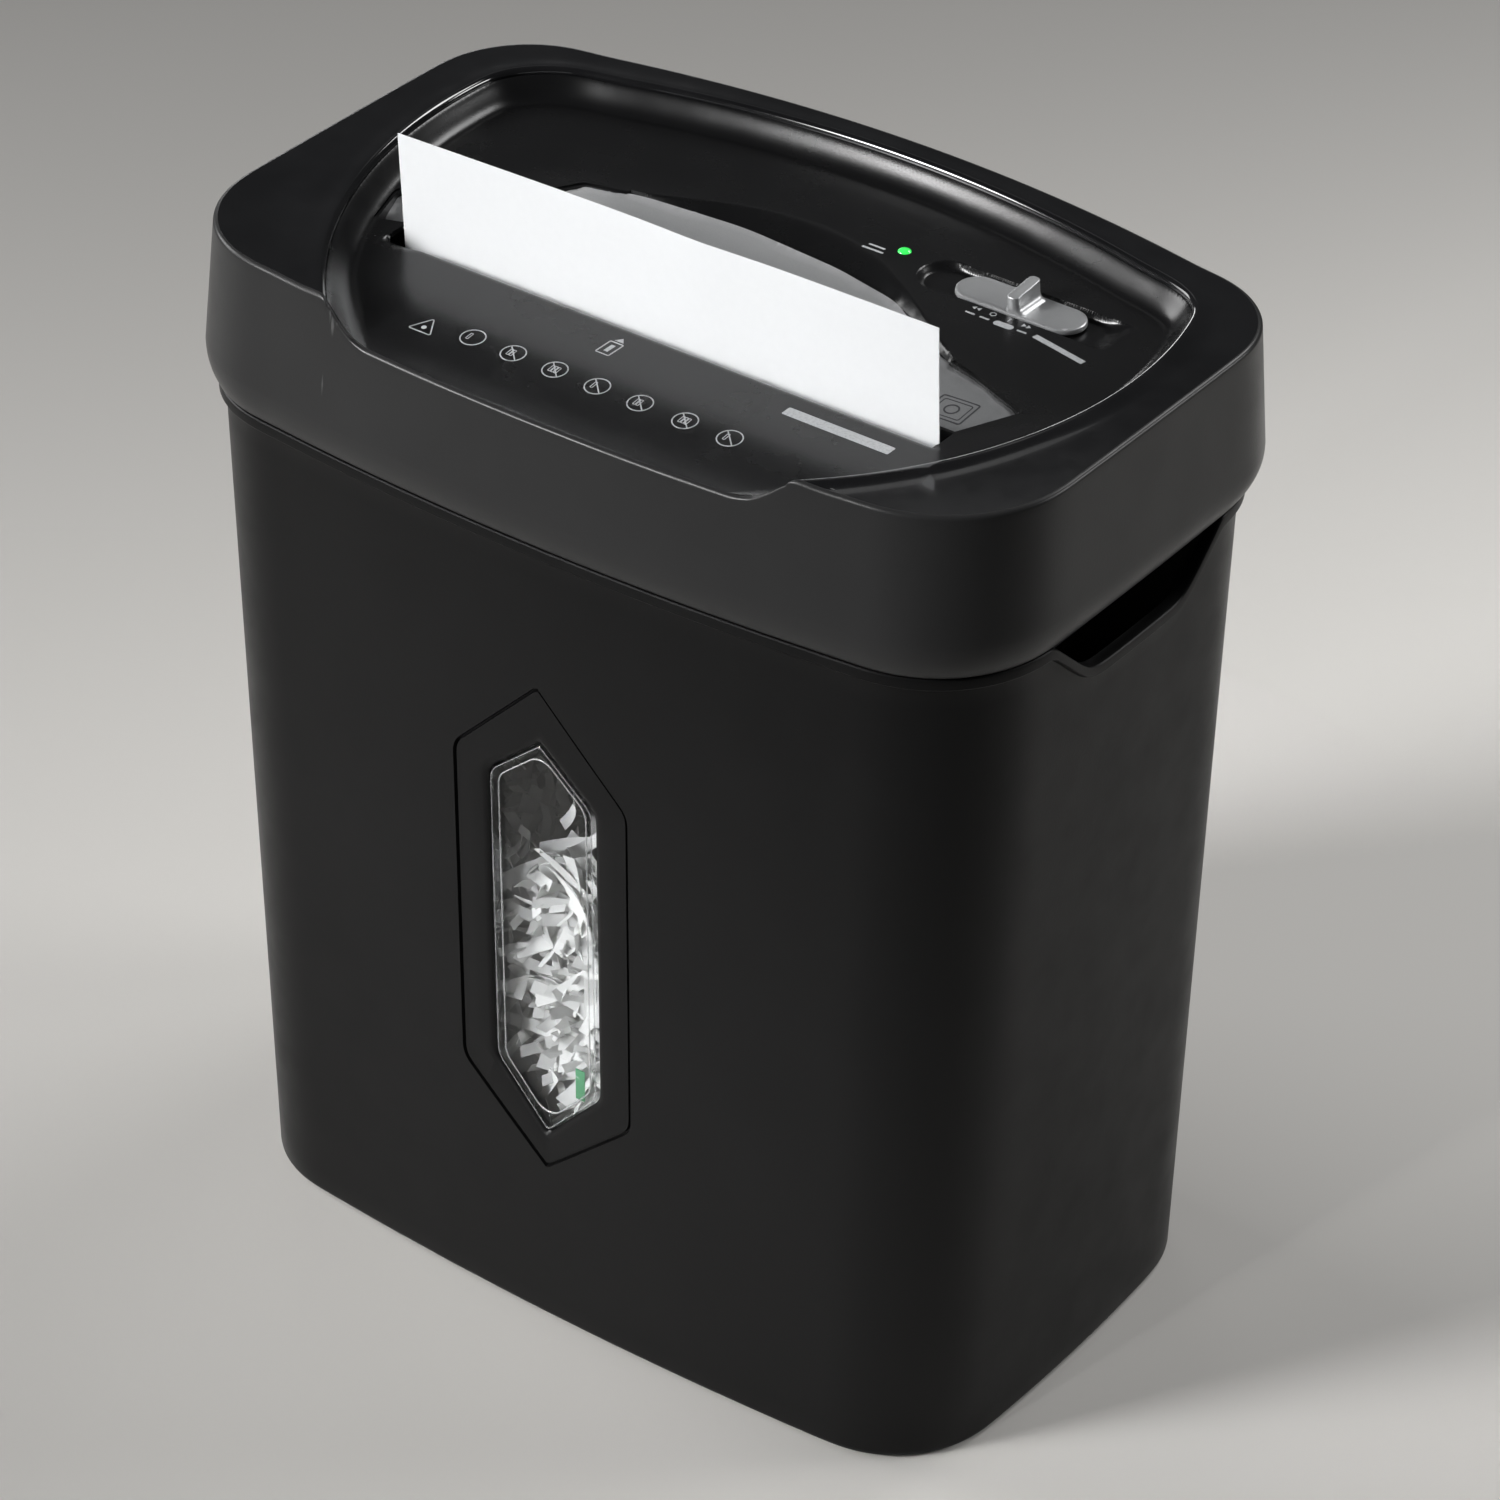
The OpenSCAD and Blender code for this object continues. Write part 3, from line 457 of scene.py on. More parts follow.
def silver_paint(name):
    """Silver paint with fine flakes in it."""
    look = Look(name, (0.4, 0.405, 0.412), 0.36, metallic=0.5)
    look.vary(look.noise(0.04, 3), (0.35, 0.355, 0.36))
    look.vary(look.cells(5.0), (0.46, 0.465, 0.47), 0.25, 0.6)
    look.shine(look.noise(0.2, 4), 0.3, 0.42)
    look.bump(look.noise(4.0, 3), 0.01)
    look.edge_wear_and_highlight((0.62, 0.62, 0.63), 0.53, 0.6)
    return look


def satin_silver():
    """Silver paint of the slider, brushed along its length."""
    look = Look("satin_silver", (0.38, 0.385, 0.39), 0.33, metallic=0.5)
    look.vary(look.noise(0.05, 3), (0.34, 0.345, 0.35))
    look.shine(look.noise(0.6, 4, 0.6, (0.05, 1, 1)), 0.29, 0.38)
    look.bump(look.noise(4.0, 3), 0.006)
    # Lighter convex edges: a painted highlight along the slider's rim
    look.edge_wear_and_highlight((0.62, 0.62, 0.63), 0.53, 0.6)
    return look


def paper_look(name, color, depth=0.02):
    look = Look(name, color, 0.75, specular=0.25)
    thin = look.node("ShaderNodeBsdfTranslucent")
    thin.inputs["Color"].default_value = (*color, 1)
    look.blend(0.25, look.shader, thin)
    look.vary(look.noise(0.3, 5), shade(color, 0.985))
    look.shine(look.noise(0.5, 3), 0.7, 0.85)
    look.bump(look.noise(2.0, 5, 0.7), depth)
    return look


def clear_plastic():
    """Clear pane: lets lamps through, with gloss on its surface and a faint smoke tint."""
    mat = bpy.data.materials.new("clear_plastic")
    mat.use_nodes = True
    tree = mat.node_tree
    tree.nodes.clear()
    node, link = tree.nodes.new, tree.links.new
    place = node("ShaderNodeTexCoord")
    noise = node("ShaderNodeTexNoise")
    noise.inputs["Scale"].default_value = 90
    link(place.outputs["Object"], noise.inputs["Vector"])
    bump = node("ShaderNodeBump")
    bump.inputs["Distance"].default_value = 0.00015
    link(noise.outputs["Fac"], bump.inputs["Height"])
    through = node("ShaderNodeBsdfTransparent")
    through.inputs["Color"].default_value = (0.93, 0.935, 0.94, 1)
    gloss = node("ShaderNodeBsdfGlossy")
    gloss.inputs["Roughness"].default_value = 0.06
    link(bump.outputs[0], gloss.inputs["Normal"])
    facing = node("ShaderNodeLayerWeight")
    facing.inputs["Blend"].default_value = 0.5
    link(bump.outputs[0], facing.inputs["Normal"])
    steep = node("ShaderNodeMath")
    steep.operation = "POWER"
    steep.inputs[1].default_value = 4
    link(facing.outputs["Facing"], steep.inputs[0])
    share = node("ShaderNodeMapRange")
    share.inputs["To Min"].default_value = 0.045
    link(steep.outputs[0], share.inputs["Value"])
    mix = node("ShaderNodeMixShader")
    link(share.outputs[0], mix.inputs[0])
    link(through.outputs[0], mix.inputs[1])
    link(gloss.outputs[0], mix.inputs[2])
    link(mix.outputs[0], node("ShaderNodeOutputMaterial").inputs[0])
    return mat


def clear_edge_painted_highlight():
    """Thick edges of the clear pane: a light grey mixed in as a painted highlight, for the light they
    gather.
    """
    look = Look("clear_edge_painted_highlight", (0.45, 0.455, 0.46), 0.15, specular=0.9)
    look.shine(look.noise(0.4, 3), 0.1, 0.25)
    look.bump(look.noise(0.2, 3), 0.02)
    through = look.node("ShaderNodeBsdfTransparent")
    look.blend(look.ranged(look.noise(0.05, 3), 0.2, 0.7), through, look.shader)
    return look


def led_look():
    look = Look("led_green", (0.02, 0.35, 0.06), 0.15, specular=0.6, coat=0.6)
    look.set("Emission Color", (0.05, 0.9, 0.12, 1))
    look.set("Emission Strength", 0.9)
    look.vary(look.noise(0.8, 3), (0.01, 0.2, 0.03))
    look.bump(look.noise(1.0, 2), 0.02)
    return look


def print_look():
    look = Look("pad_print", (0.42, 0.43, 0.44), 0.55)
    look.vary(look.noise(1.2, 4), (0.3, 0.31, 0.32), 0.45, 0.7)
    look.bump(look.noise(3.0, 3), 0.01)
    return look


def nylon(name, color):
    look = Look(name, color, 0.5, specular=0.4)
    look.vary(look.noise(0.1, 3), shade(color, 0.85))
    look.bump(look.noise(0.8, 4), 0.02)
    look.edge_wear_and_highlight(shade(color, 1.1))
    return look


LOOKS = {look.name: look.mat for look in (
    moulded("bin_plastic", (0.0042, 0.0042, 0.0043), 0.38, 1.3, 0.03, specular=0.15, lighter=1.15),
    # The head's edge colour paints a highlight along its convex edges
    moulded("head_plastic", (0.019, 0.019, 0.0192), 0.33, 1.1, 0.024, specular=0.22, lighter=1.12,
            edge=0.07),
    moulded("panel_plastic", (0.0036, 0.0036, 0.0038), 0.26, 1.1, 0.016, 0.03, specular=0.38),
    moulded("dark_plastic", (0.016, 0.0165, 0.0175), 0.48, 1.0, 0.04),
    moulded("comb_plastic", (0.03, 0.03, 0.032), 0.5, 0.9, 0.04),
    moulded("black_rubber", (0.01, 0.01, 0.01), 0.75, 2.0, 0.05, specular=0.3),
    gloss_black(),
    silver_paint("silver_plastic"),
    silver_paint("switch_silver"),
    satin_silver(),
    led_look(),
    print_look(),
    painted("badge_ink", (0.04, 0.04, 0.045), 0.5),
    paper_look("shredded_paper", (0.9, 0.9, 0.89)),
    paper_look("white_paper", (0.83, 0.84, 0.85), 0.012),
    paper_look("green_print", (0.12, 0.4, 0.2)),
    painted("board_green", (0.012, 0.09, 0.035), 0.35),
    painted("component_mix", (0.25, 0.22, 0.08), 0.4),
    painted("red_plastic", (0.5, 0.03, 0.015), 0.4),
    painted("red_wire", (0.35, 0.015, 0.012), 0.45),
    painted("carbon", (0.02, 0.02, 0.02), 0.6),
    metal("plate_steel", (0.45, 0.46, 0.47), 0.38, (1, 0.1, 1)),
    metal("rod_steel", (0.55, 0.55, 0.56), 0.28, (0.1, 1, 1)),
    metal("cutter_steel", (0.34, 0.34, 0.35), 0.34, (1, 0.4, 0.4), 0.8),
    metal("gear_steel", (0.4, 0.4, 0.41), 0.4),
    metal("motor_steel", (0.42, 0.43, 0.44), 0.36, (0.1, 1, 1)),
    metal("screw_steel", (0.35, 0.35, 0.36), 0.35),
    metal("bronze", (0.45, 0.3, 0.14), 0.4),
    metal("copper_windings", (0.5, 0.2, 0.09), 0.35, (0.2, 1, 1), 1.0),
    nylon("gear_nylon", (0.72, 0.72, 0.66)),
    clear_edge_painted_highlight(),
)}
LOOKS["clear_plastic"] = clear_plastic()


def dress_cad_nodes():
    """Gives every CAD node the look of its material slot."""
    for part in frame["record"]["subparts"]:
        obj = frame["nodes"][part["node"]]
        obj.data.materials.clear()
        obj.data.materials.append(LOOKS[part["material_slot"]])


# ---- Bin ----
FLOOR_OUTLINE = outline(155, 92.2, 42.7, 42.7, 4.3, 4.3, 1.5)
MOUTH_OUTLINE = outline(162.2, 92.8, 43.5, 43.5, 6.4, 6.4, 0.9)
BIN_POINTS = 560
WALL_Z0 = 3.0
WALL_Z1 = 319.5
FLOOR_TOP = 3.0
FOOT_DISH = 1.4
FLANGE_H = 4.5
UNDER_FLANGE = 5.5
FLANGE_OUT = 2.4
BIN_WALL = 2.6
RIB = [57, 87.9, 250], [63, 93.6, 318]
DIP_HALF = 48.3
DIP_DEPTH = 20.0
DIP_SLOPE = 0.93


class BinWall:
    """The bin's outer wall: its floor outline blends into its mouth outline on the way up."""
    floor = in_steps(FLOOR_OUTLINE, BIN_POINTS)
    mouth = in_steps(MOUTH_OUTLINE, BIN_POINTS)
    out = outward(mouth)

    @classmethod
    def at(cls, z, offset=0.0):
        """The wall's points at these heights, moved outward by offset."""
        z = np.broadcast_to(np.asarray(z, float), len(cls.floor))
        t = np.clip((z - WALL_Z0) / (WALL_Z1 - WALL_Z0), 0, 1)[:, None]
        path = cls.floor + (cls.mouth - cls.floor) * t + cls.out * offset
        return np.column_stack([path, z])


def soft_max(a, b, k):
    return k * np.logaddexp(np.asarray(a) / k, np.asarray(b) / k)


def mouth_heights():
    """Height of the bin's mouth at each station: it dips at both sides for the hand."""
    y = np.abs(BinWall.mouth[:, 1])
    line = (DIP_HALF - y) * DIP_SLOPE
    depth = -soft_max(-line, -DIP_DEPTH, 2.5)
    depth = soft_max(depth, 0, 0.7) - 0.7 * math.log(1 + math.exp(-8))
    depth = np.where((np.abs(BinWall.mouth[:, 0]) > 120) & (y < 60), depth, 0)
    return BIN_H - np.maximum(depth, 0)


def front_y(x, z):
    """Y of the bin's outer front face at places in X and Z."""
    front = np.where((BinWall.mouth[:, 1] < -60) & (np.abs(BinWall.mouth[:, 0]) < 110))[0]
    front = front[np.argsort(BinWall.mouth[front, 0])]
    t = np.clip((np.asarray(z, float) - WALL_Z0) / (WALL_Z1 - WALL_Z0), 0, 1)
    low = np.interp(x, BinWall.floor[front, 0], BinWall.floor[front, 1])
    high = np.interp(x, BinWall.mouth[front, 0], BinWall.mouth[front, 1])
    return low + (high - low) * t


WINDOW_X = (PANE_LO[0] + PANE_HI[0]) / 2
RECESS = dict(w=72.6, z0=68.5, z1=268.9, slopes=(0.9, 1.0), side_r=9, tip_r=0.8)
OPENING = dict(w=44.4, z0=83.0, z1=246.4, slopes=(1.1, 0.85), side_r=8, tip_r=0.8)
RECESS_DEPTH = 0.45


def hexagon(shape, grow=0.0, side_r=None, tip_r=None):
    """Hexagon with points above and below, in X and Z, grown by that many millimetres."""
    w = shape["w"] + 2 * grow
    lo, hi = shape["slopes"]
    z0 = shape["z0"] - grow * math.hypot(1, lo)
    z1 = shape["z1"] + grow * math.hypot(1, hi)
    x = WINDOW_X
    side = max(shape["side_r"] + grow, 1) if side_r is None else side_r
    tip = shape["tip_r"] if tip_r is None else tip_r
    return rounded([[x, z0], [x + w / 2, z0 + lo * w / 2], [x + w / 2, z1 - hi * w / 2], [x, z1],
                    [x - w / 2, z1 - hi * w / 2], [x - w / 2, z0 + lo * w / 2]],
                   [tip, side, side, tip, side, side])


def even_hexagon(shape, grow, **kw):
    return in_steps(hexagon(shape, grow, **kw), 220)


def on_front(path, depth):
    """Points of a path in X and Z, laid that deep under the bin's front face."""
    return np.column_stack([path[:, 0], front_y(path[:, 0], path[:, 1]) + depth, path[:, 1]])


def front_stack(shape, levels, **kw):
    """Solid through levels of (depth, growth), whose end faces follow the bin's front."""
    rings = [on_front(even_hexagon(shape, grow, **kw), depth) for depth, grow in levels]
    middle = np.array([WINDOW_X, (shape["z0"] + shape["z1"]) / 2])

    def shrink(level, share):
        path = even_hexagon(shape, level[1], **kw)
        return on_front(middle + (path - middle) * share, level[0])
    first = [shrink(levels[0], s) for s in (0.05, 0.3, 0.6, 0.85)]
    last = [shrink(levels[-1], s) for s in (0.85, 0.6, 0.3, 0.05)]
    return loft(first + rings + last)


def bin_rows():
    """Rows of the bin's shell: under the floor, up the outside, over the flange and down inside."""
    mouth = mouth_heights()
    rows = [BinWall.at(0.0, offset) for offset in (-40, -12, -10.5, -3)]
    rows[0][:, 2] = rows[1][:, 2] = FOOT_DISH
    rows += [BinWall.at(WALL_Z0 * (1 - math.cos(a)), -WALL_Z0 * (1 - math.sin(a)))
             for a in np.radians(np.arange(18, 91, 18))]
    rows += [BinWall.at(WALL_Z0 + (mouth - UNDER_FLANGE - WALL_Z0) * share)
             for share in np.linspace(0, 1, 46)[1:]]
    under = [(-0.5, 0.12), (-0.2, 0.45), (0.1, 1.4), (0.35, 2.1), (0.8, FLANGE_OUT)]
    over = [(-1.1, FLANGE_OUT), (-0.45, 2.25), (-0.12, 1.9), (0, 1.4), (0, -1.9), (-0.15, -2.35),
            (-0.6, -BIN_WALL), (-6, -BIN_WALL)]
    rows += [BinWall.at(mouth + (dz - FLANGE_H), out) for dz, out in under]
    rows += [BinWall.at(mouth + dz, out) for dz, out in over]
    low = FLOOR_TOP + 1.5
    rows += [BinWall.at(low + (mouth - 6 - low) * share, -BIN_WALL)
             for share in (0.8, 0.6, 0.4, 0.2, 0)]
    foot = [(0.4, -BIN_WALL - 0.6), (0, -BIN_WALL - 2), (0, -40)]
    return rows + [BinWall.at(FLOOR_TOP + dz, offset) for dz, offset in foot]


def make_bin():
    """Bin with the window's recess, opening and groove cut into its front, and a rib at its back."""
    shell = solid("bin_body", loft(bin_rows()))
    recess = front_stack(RECESS, [(-6, 0.5), (-0.05, 0.4), (0.1, 0.2), (0.25, 0.05), (RECESS_DEPTH, 0)])
    hole = front_stack(OPENING, [(-6, 3.2), (RECESS_DEPTH - 0.05, 3.0), (RECESS_DEPTH + 0.25, 1.7),
                                 (RECESS_DEPTH + 0.8, 0.8), (RECESS_DEPTH + 1.6, 0.2), (9, 0)])
    carve(shell, recess)
    carve(shell, hole)
    groove = [on_front(even_hexagon(RECESS, grow), depth) for depth, grow in
              [(-6, 0.45), (0.2, 0.45), (1.0, 0.3), (1.9, 0.0), (1.9, -0.4), (1.0, -0.75), (-6, -0.85)]]
    carve(shell, hoop(groove))
    merge(shell, new_object("rib", rounded_box(*RIB, 0.6)))
    finish_piece(shell, "bin_plastic", "bin", ["bin_shell"], 28)


def rounded_box(lo, hi, r):
    """Box with its edges rounded by a bevel."""
    bm = bmesh.new()
    bmesh.ops.create_cube(bm, size=1)
    for v in bm.verts:
        v.co = Vector(lo[k] + (v.co[k] + 0.5) * (hi[k] - lo[k]) for k in range(3))
    bmesh.ops.bevel(bm, geom=bm.edges[:] + bm.verts[:], offset=r, segments=3, profile=0.5,
                    affect="EDGES")
    bm.verts.index_update()
    points = np.array([v.co[:] for v in bm.verts])
    faces = [tuple(v.index for v in f.verts) for f in bm.faces]
    bm.free()
    return points, faces


def merge(obj, *others):
    """Adds the meshes of other objects to one object, and removes them."""
    bm = bmesh.new()
    for o in (obj, *others):
        bm.from_mesh(o.data)
    bm.to_mesh(obj.data)
    bm.free()
    for o in others:
        bpy.data.objects.remove(o)


def make_pane():
    """Clear tray clipped behind the opening: a thick edge, a bead inside it and small snap tabs."""
    d = RECESS_DEPTH
    section = [(5.2, 4.5), (3.6, 4.6), (3.4, 4.4), (3.3, 1.0), (3.2, -0.3), (0.9, -0.35),
               (0.65, -0.6), (0.65, -1.5), (0.9, -1.75), (1.9, -2.0), (2.1, -2.4), (2.1, -3.0),
               (1.7, -3.2), (1.35, -3.5), (1.35, -4.0), (1.7, -4.3), (2.3, -4.5)]
    levels = [(d + depth, grow) for depth, grow in section]
    pane = solid("window_pane", front_stack(OPENING, levels, side_r=8, tip_r=2.0))
    tabs = []
    left, right = WINDOW_X - OPENING["w"] / 2, WINDOW_X + OPENING["w"] / 2
    for x, z0, z1 in ((left + 0.4, 181, 198), (left + 0.2, 161, 169.5), (right - 1.8, 161, 172)):
        y = front_y(x, z0) + d
        tabs.append(new_object("tab", rounded_box([x, y + 0.5, z0], [x + 1.8, y + 4.5, z1], 0.3)))
    merge(pane, *tabs)
    finish_piece(pane, "clear_plastic", "bin", ["bin_window"], 30)
    beads = []
    for grow, half, lift, tip in ((-0.95, 0.12, 0.6, 0.8), (-3.75, 0.26, 1.25, 7.0)):
        rings = []
        for a in np.radians(np.arange(0, 360, 45)):
            path = even_hexagon(OPENING, grow + half * math.cos(a), side_r=8, tip_r=tip)
            rings.append(on_front(path, d + lift + half * math.sin(a)))
        beads.append(hoop(rings))
    # The bead's light grey material is a painted highlight along the pane's edges
    bead = solid("window_bead", join(*beads))
    finish_piece(bead, "clear_edge_painted_highlight", "bin", (), 60)


# ---- Shreds ----
STRIP_T = 0.18
STRIP_WIDTHS = [3.8, 4.2, 4.2, 5.5]
SHRED_GAP = 8.5
PILE_TOP = 166


def make_shreds():
    """Pile of cross-cut strips: a lumpy core, and loose strips over it and against the window."""
    rng = random.Random(11)
    half = OPENING["w"] / 2 + 5
    strips = []

    def strip(centre, along, up, length, width, curl, twist):
        """Bent ribbon with a thickness, through its centre."""
        side = unit(np.cross(up, along))
        rows, n = [], 7
        for i in range(n):
            t = i / (n - 1) - 0.5
            bend = curl * t * math.pi
            share = math.sin(bend) / (curl * math.pi) if abs(curl) > 0.05 else t
            p = centre + along * length * share
            p = p + up * length * ((1 - math.cos(bend)) / max(abs(curl) * math.pi, 0.3))
            turn = twist * t
            w = side * math.cos(turn) + up * math.sin(turn)
            normal = unit(np.cross(along, w)) * STRIP_T / 2
            rows.append(np.array([p - w * width / 2 - normal, p + w * width / 2 - normal,
                                  p + w * width / 2 + normal, p - w * width / 2 + normal]))
        points = np.vstack(rows)
        room = points[:, 1] - front_y(WINDOW_X, points[:, 2]) - SHRED_GAP
        points[:, 1] -= min(room.min(), 0)
        faces = grid_faces(n, 4) + [(3, 2, 1, 0), tuple(4 * (n - 1) + k for k in range(4))]
        strips.append((points, faces))

    def direction():
        return unit(np.array([rng.gauss(0, 1), rng.gauss(0, 1), rng.gauss(0, 1)]))

    def scatter(count, place, lean, loose=0.9, size=(20, 42)):
        for _ in range(count):
            up = unit(direction() * loose + np.array(lean))
            along = unit(np.cross(up, direction()))
            strip(place(), along, up, rng.uniform(*size), rng.choice(STRIP_WIDTHS),
                  rng.uniform(-0.9, 0.9), rng.uniform(-1.3, 1.3))

    def behind_window(z, deepest):
        x = WINDOW_X + rng.uniform(-half, half)
        return np.array([x, front_y(WINDOW_X, z) + rng.uniform(12, deepest), z])

    def by_window():
        return behind_window(OPENING["z0"] - 1 + 96 * rng.random() ** 0.9, 24)

    def above():
        return behind_window(rng.triangular(PILE_TOP + 4, PILE_TOP + 39, PILE_TOP + 6), 30)

    def on_top():
        x, y = rng.uniform(-128, 128), rng.uniform(-66, 66)
        mound = 6 * math.sin(x / 23) * math.cos(y / 19)
        return np.array([x, y, PILE_TOP + mound + rng.uniform(-3, 9)])

    scatter(170, by_window, (0, -1.0, 0.15), 0.55, (24, 48))
    scatter(14, above, (0, -0.8, 0.3))
    scatter(900, on_top, (0, 0, 1.0))
    core_rows = []
    base = in_steps(outline(138, 72, 34, 34, 3, 3, 0.5), 200)
    for z, grow in ((5, -6), (8, -1), (60, 1), (110, 3), (145, 2), (160, -4), (165, -16), (167, -30),
                    (168, -55)):
        path = base + outward(base) * grow
        lump = np.sin(path[:, 0] / 7 + z) * np.cos(path[:, 1] / 9 + z / 5) * (1.6 if z > 8 else 0)
        core_rows.append(np.column_stack([path + outward(base) * (lump[:, None] - 1.6), z + lump]))
    core = solid("shred_core", loft(core_rows))
    pile = new_object("shred_pile", join(*strips))
    merge(pile, core)
    finish_piece(pile, "shredded_paper", "bin", ["paper_shreds"], 40)
    z = 96
    y = front_y(WINDOW_X, z)
    green = new_object("green_shred", rounded_box([WINDOW_X + 6, y + 9.2, z],
                                                  [WINDOW_X + 10, y + 9.4, z + 13], 0.05))
    finish_piece(green, "green_print", "bin")


# ---- Head: one height field for the whole top ----
def stations():
    """Shares of the head's outline, closer together around the ends of the front step."""
    path = TOP_OUTLINE
    along = lengths(path)[:-1] / lengths(path)[-1]
    x, y = path[:, 0], path[:, 1]
    near = (y < -60) & (((x > -102) & (x < -64)) | ((x > 70) & (x < 104)))
    bend = (np.abs(x) > 100) & (np.abs(y) > 40)
    weight = np.where(near, 5.0, np.where(bend, 1.3, 0.8))
    total = np.concatenate([[0], np.cumsum(weight)])
    marks = np.linspace(0, total[-1], int(total[-1]), endpoint=False)
    return np.interp(marks, total, np.append(along, 1))


TOP_OUTLINE = outline(HALF_W - 3.0, 93.2, 46.2, 39.5, 7.4, 14.6, 0.2)
BELLY_OUTLINE = outline(HALF_W, 97, 46.5, 42, 7, 10, 0.6)
FOOT_OUTLINE = outline(164, 94.6, 44.2, 43.5, 6.5, 7.5, 0.6)
STATIONS = stations()
BELLY_Z = 338.5
ROLL_R = 1.5
CORD_HOLE = [0, 80, 349], [0, 130, 349], 7.45
# The middle that the well's spokes start from, and its two large arcs: centre x, centre y, radius
HUB = np.array([0, 10])
LEFT_ARC = (51.4, 40.7, 195.6)
RIGHT_ARC = (-8.5, 18.3, 153.6)


def reach(path, spokes):
    """Distance from the hub to a closed path around it, in the direction of each spoke."""
    rel = path - HUB
    angle = np.unwrap(np.arctan2(rel[:, 1], rel[:, 0])) % (2 * math.pi)
    order = np.argsort(angle)
    return np.interp(spokes, angle[order], np.linalg.norm(rel, axis=1)[order], period=2 * math.pi)


def well_outline():
    """Inside of the rim: wide at the back, drawn in by two large arcs towards the front step."""
    spokes = np.radians(np.arange(0, 360, 0.25))
    way = circle(0, 0, 1, 0.25)
    r = reach(outline(146, 95, 60, 34, 1, 16.5, 0.5) + np.array([0, -15]), spokes)
    for x, y, arc_r in (LEFT_ARC, RIGHT_ARC):
        c = HUB - np.array([x, y])
        b = way @ c
        r = np.minimum(r, -b + np.sqrt(b * b - c @ c + arc_r ** 2))
    return soften(evenly(HUB + way * r[:, None], 1.0), 4)


WELL = well_outline()
LIP_Z = RIM_Z + 0.5
LIP_R = 2.0
WALL_START = 381.3
FALL = 8.0
SKIRT_Z = 364.5
FRONT_FALL = 2.5
SLOT_ROLL = 3.2
PANEL_T = 1.8


def into_well(points):
    """Signed distance to the well's outline, positive inside."""
    d = distance(points, WELL)
    return np.where(inside(points, WELL), d, -d)


def rim_height(d):
    """Height of the gloss rim at d: dished, with a raised lip that rolls over at the well."""
    out = np.maximum(-d, 0)
    dish = RIM_Z + (LIP_Z - RIM_Z) * np.exp(-((out - 1.5) / 4.5) ** 2)
    roll = LIP_R - np.sqrt(np.maximum(LIP_R ** 2 - np.maximum(LIP_R - out, 0) ** 2, 0))
    return dish - roll


def wall_height(d):
    """Height of the panel's moulding at d: a shoulder under the rim, a slope and a fillet."""
    t = np.clip((d - 0.2) / FALL, 0, 1)
    return PANEL_Z + (WALL_START - PANEL_Z) * (1 - ease(t ** 0.7))


SHEET_Y = SHEET_LO[1] + 0.2
SLOT_X = 111.0
SLOT_Y0, SLOT_Y1 = SHEET_Y - 4.8, SHEET_Y + 4.6
GUIDE = [[-115.5, SLOT_Y1], [-122.5, -33.5], [-130, -12], [-88, 20], [-82, 30], [-60, 35], [-20, 37.8],
         [20, 34.6], [47.5, 29], [62, 20], [78, 10.5], [97, 4.6], [122, -5.3], [112, SLOT_Y1]]
GUIDE_R = [1, 1.5, 4, 8, 5, 60, 120, 90, 30, 25, 30, 40, 1.5, 1]
GUIDE_PATH = rounded(GUIDE, GUIDE_R)
# The hollow behind the guide: the crease at its back, and points inside the guide that close it
CREASE = spline([[-66, 35.5], [-58, 37.5], [-43, 44.5], [-30, 50], [-10, 54.5], [7, 54.5], [30, 47.6],
                 [55, 31], [72, 18.5], [84, 9.8]], 120)
HOLLOW_PATH = np.vstack([CREASE, [[84, 8], [60, 15], [40, 25], [10, 30], [-40, 30], [-66, 33]]])
HOLLOW = 5.5
SLIDER_X = (SLIDER_LO[0] + SLIDER_HI[0]) / 2
SLIDER_Y = (SLIDER_LO[1] + SLIDER_HI[1]) / 2
SLIDER_HALF = (SLIDER_HI - SLIDER_LO) / 2
POCKET_X0, POCKET_X1 = SLIDER_LO[0] - 13.9, SLIDER_HI[0] + 20
POCKET_Z = PANEL_Z - 2.6
POCKET_FADE = 107
LED_X, LED_Y = (LED_LO[0] + LED_HI[0]) / 2, (LED_LO[1] + LED_HI[1]) / 2
LED_R = 2.3


def stadium(x0, x1, y, r):
    return in_steps(rounded_rect(x0, y - r, x1, y + r, r - 0.01, 0.6), 160)


POCKET = stadium(POCKET_X0, POCKET_X1, SLIDER_Y, SLIDER_HALF[1] + 1.4)


